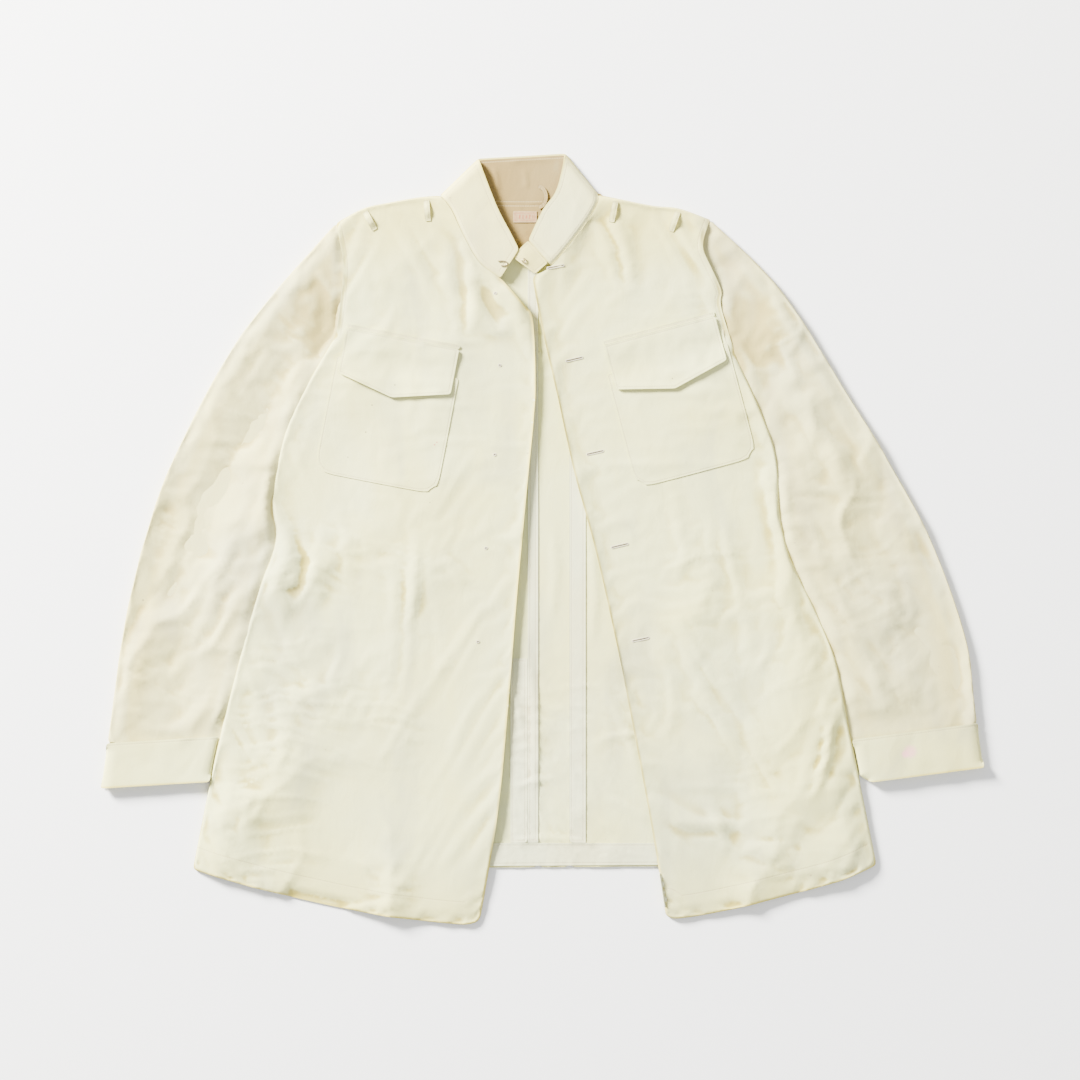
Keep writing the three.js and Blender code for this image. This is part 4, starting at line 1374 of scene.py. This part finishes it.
def make_pocket(name, tree, material):
    node = name + "_pocket"
    bag = outline_of(node)
    flap = outline_of(node + "_flap")
    joint = joints[name + "_flap_lift"]
    hinge, axis = Vector(joint["pos_m"]), Vector(joint["axis"])
    down = Vector((axis.y, -axis.x, 0)).normalized()
    if down.y > 0:
        down = -down
    bag_ring = border_of(bag)

    def from_seam(points):
        return (points - np.array(hinge[:2])) @ np.array(down[:2])

    def bag_height(points):
        away = near_segments(points, bag_ring)
        slack = smoothstep(away, 0, 26 * MM) * (1 - smoothstep(from_seam(points), 0.04, 0.15))
        return onto(tree, points, 0.8 * MM, FRONT_LEVEL) + 1.4 * MM * slack

    piece = patch(node + "_cloth", bag, bag_height, spacing=5 * MM, rims=(1.6 * MM, 4 * MM))
    edge_marks(piece, bag, POCKET_STITCH, ageing(coordinates(piece)[:, :2]))
    finish_cloth(piece)
    declare(bag)
    dress(piece, material, "cotton_body", "coat_body", node)
    flap_ring = border_of(flap)

    def flap_height(points):
        drop = from_seam(points)
        away = near_segments(points, flap_ring)
        lift = smoothstep(drop, 0.02, 0.06) * (1.6 * MM + 1.1 * MM * (1 - smoothstep(away, 0, 9 * MM)))
        ripple = 0.35 * MM * fractal(points, (0.02, 0.03), 137, 2)
        under = np.maximum(onto(tree, points, 1.5 * MM, FRONT_LEVEL), bag_height(points) + 0.7 * MM)
        return under + lift + ripple

    piece = patch(node + "_flap_cloth", flap, flap_height, spacing=4.5 * MM, rims=(1.4 * MM, 3.5 * MM))
    edge_marks(piece, flap, 2.2 * MM, ageing(coordinates(piece)[:, :2]))
    finish_cloth(piece, 0.8 * MM)
    declare(flap)
    dress(piece, material, "cotton_body", None, node + "_flap")
    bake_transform(piece)
    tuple(hinge)
    seam = outline_of(name + "_flap_seam")
    piece = patch(name + "_flap_seam_cloth", seam, lambda p: onto(tree, p, 1.5 * MM, FRONT_LEVEL),
                  spacing=2.4 * MM, rims=())
    edge_marks(piece, seam, 1.2 * MM, ageing(coordinates(piece)[:, :2]))
    finish_cloth(piece, 0.7 * MM)
    declare(seam)
    dress(piece, material, "cotton_body", "coat_body", name + "_flap_seam")


# ---------------------------------------------------------------- shoulder loops


def make_shoulder_loop(name, which, tree, material):
    node = name + "_" + which + "_shoulder_loop"
    outline = outline_of(node)
    middle = np.mean(outline, 0)

    def height(points):
        away = np.hypot(*(points - middle).T)
        arch = 2.6 * MM * (1 - smoothstep(away, 2 * MM, 11 * MM))
        return onto(tree, points, 1.0 * MM, EDGE_LEVEL) + arch

    piece = patch(node + "_cloth", outline, height, spacing=2 * MM, rims=())
    edge_marks(piece, outline, 1.0 * MM, 0.45)
    finish_cloth(piece, 0.8 * MM)
    declare(outline)
    dress(piece, material, "cotton_body", "coat_body", node)


# ---------------------------------------------------------------- buttonholes and eyelets


def lie_of(node):
    """The middle of a node seen from above and the angle of its long way."""
    points = np.array([v.co.xy for v in frame["nodes"][node].data.vertices])
    low, high = points.min(0), points.max(0)
    values, ways = np.linalg.eigh(np.cov((points - points.mean(0)).T))
    way = ways[:, 1]
    return (low + high) / 2, math.atan2(way[1], way[0]) if values[1] > 1.2 * values[0] else 0.0


THREAD_RADIUS = 0.5 * MM
BUTTONHOLE = (8 * MM, 1.1 * MM)  # half the buttonhole's length and the radius of its ends
EYELET = (0.3 * MM, 1.2 * MM)
LAST_FIXED_ROW = 3  # the rows below it lie where the front corners turn


def thread_ring(node, tree, half_length, radius, material):
    """A ring of stitches: a torus drawn out along the buttonhole, lying on the cloth, with a dark strip in its
    middle painted as the shadow in the opening.
    """
    bpy.ops.object.select_all(action="DESELECT")
    bpy.ops.mesh.primitive_torus_add(major_radius=radius, minor_radius=THREAD_RADIUS,
                                     major_segments=28, minor_segments=8)
    ring = bpy.context.object
    ring.name = node + "_thread"
    bpy.ops.object.mode_set(mode="EDIT")
    for sign in (-1, 1):
        net = bmesh.from_edit_mesh(ring.data)
        for vert in net.verts:
            vert.select = sign * vert.co.x > 1e-6 and abs(vert.co.x) < 1.0
        net.select_flush_mode()
        bmesh.update_edit_mesh(ring.data)
        bpy.ops.transform.translate(value=(sign * half_length, 0, 0))
    bpy.ops.mesh.select_all(action="SELECT")
    bpy.ops.transform.resize(value=(1, 1, 0.6))
    bpy.ops.object.mode_set(mode="OBJECT")
    # A thin dark box along the middle: painted shadow in the opening.
    bpy.ops.mesh.primitive_cube_add(size=1, scale=(2 * (half_length + radius), 0.5 * radius, 0.3 * MM))
    slit = bpy.context.object
    bpy.ops.object.transform_apply(location=True, rotation=True, scale=True)
    bpy.ops.object.mode_set(mode="EDIT")
    bpy.ops.mesh.select_all(action="SELECT")
    bpy.ops.mesh.bevel(offset=0.1 * MM, segments=2, affect="EDGES")
    bpy.ops.object.mode_set(mode="OBJECT")
    note(slit, "slit", np.ones(len(slit.data.vertices)))
    note(ring, "slit", np.zeros(len(ring.data.vertices)))
    slit.select_set(True)
    ring.select_set(True)
    bpy.context.view_layer.objects.active = ring
    bpy.ops.object.join()
    (x, y), angle = lie_of(node)
    ring.rotation_euler = (0, 0, angle)
    ring.location = (x, y, float(onto(tree, [(x, y)], 0.25 * MM, FRONT_LEVEL)[0]))
    bpy.ops.object.transform_apply(location=True, rotation=True, scale=True)
    bpy.ops.object.shade_smooth_by_angle(angle=math.radians(40))
    coords = coordinates(ring)
    ground = onto(tree, coords[:, :2], 0, FRONT_LEVEL)
    coords[:, 2] += ground - float(onto(tree, [(x, y)], 0, FRONT_LEVEL)[0])
    place_vertices(ring, coords)
    ring.data.materials.append(material)
    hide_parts(node)
    return ring


def stitching(name):
    """Buttonhole thread, with the dark strip in the opening painted as shadow."""
    finish = Finish(name, 0.75, sheen=0.2)
    where = finish.place()
    slit = finish.attribute("slit")
    strands = finish.wave(where, 520, "DIAGONAL")
    colour = finish.blend(strands, rgb(0.52, 0.45, 0.28), rgb(0.78, 0.73, 0.56))
    finish.set(Base_Color=finish.blend(slit, colour, rgb(0.10, 0.07, 0.04)))
    finish.bump(strands, 0.7, 0.0004)
    return finish.material


def make_closures(trees, material):
    for row in range(1, 6):
        hole = thread_ring(f"buttonhole_{row}", trees["right"], *BUTTONHOLE, material)
        eyelet = thread_ring(f"button_eyelet_{row}", trees["left"], *EYELET, material)
        for piece, name in ((hole, "right"), (eyelet, "left")):
            if row > LAST_FIXED_ROW:
                across_fold(piece, name)
            else:
                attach(piece, "coat_body")


# ---------------------------------------------------------------- the coat

make_camera()
make_studio()
floor = new_object("table_top", [(-6, -6, -0.0004), (6, -6, -0.0004), (6, 6, -0.0004), (-6, 6, -0.0004)],
                   [(0, 1, 2, 3)])
floor.data.materials.append(table_finish())

FAIR = rgb(0.72, 0.72, 0.34)
WARM = rgb(0.74, 0.68, 0.22)
# The yellow-brown painted as shade in the folds; the fourth colour of each cotton plays that part.
FOLD_SHADE_TAN = rgb(0.42, 0.33, 0.045)
body_cotton = cotton("body cotton", FAIR, WARM, FOLD_SHADE_TAN)
collar_cotton = cotton("collar cotton", rgb(0.72, 0.68, 0.31), rgb(0.74, 0.64, 0.22), FOLD_SHADE_TAN, 0.7)
inner_cotton = cotton("inner cotton", rgb(0.70, 0.71, 0.44), rgb(0.70, 0.64, 0.32),
                      rgb(0.36, 0.22, 0.06), 0.3, gold=rgb(0.36, 0.25, 0.07))
# Dark yellow-brown cotton for the neck facing, collar lining and hanger loop: its colours are painted shade,
# as under the collar inside the neck, with yellowing over it.
shaded_neck_cotton = cotton("neck cotton", rgb(0.36, 0.26, 0.09), rgb(0.31, 0.21, 0.06),
                     rgb(0.21, 0.125, 0.03), 0.5, gold=rgb(0.22, 0.14, 0.035))
buttonhole_thread = stitching("buttonhole thread")
hook_wire = wire("dull brass wire")

make_back(body_cotton)
for strip in ("back_hem_facing", "vent_facing", "centre_seam_tape", "felled_seam_tape"):
    make_strip(strip, inner_cotton)
# The neck facing, hanger loop and collar lining take the cotton darkened as painted shade.
make_neck_trim(shaded_neck_cotton, label_finish("blank label"))
make_collar(collar_cotton, shaded_neck_cotton)
front_trees = {}
for side in SIDE_SIGN:
    front_trees[side] = make_front(side, body_cotton)
    make_facing(side, front_trees[side], inner_cotton)
    make_sleeve(side, body_cotton)
    make_cuff(side, body_cotton)
    make_pocket(side, front_trees[side], body_cotton)
    make_leaf(side, collar_cotton)
    for which in ("inner", "outer"):
        make_shoulder_loop(side, which, front_trees[side], body_cotton)
make_throat_tab(collar_cotton)
make_closures(front_trees, buttonhole_thread)
for node in ("collar_hook", "collar_eye"):
    frame["nodes"][node].data.materials.clear()
    frame["nodes"][node].data.materials.append(hook_wire)
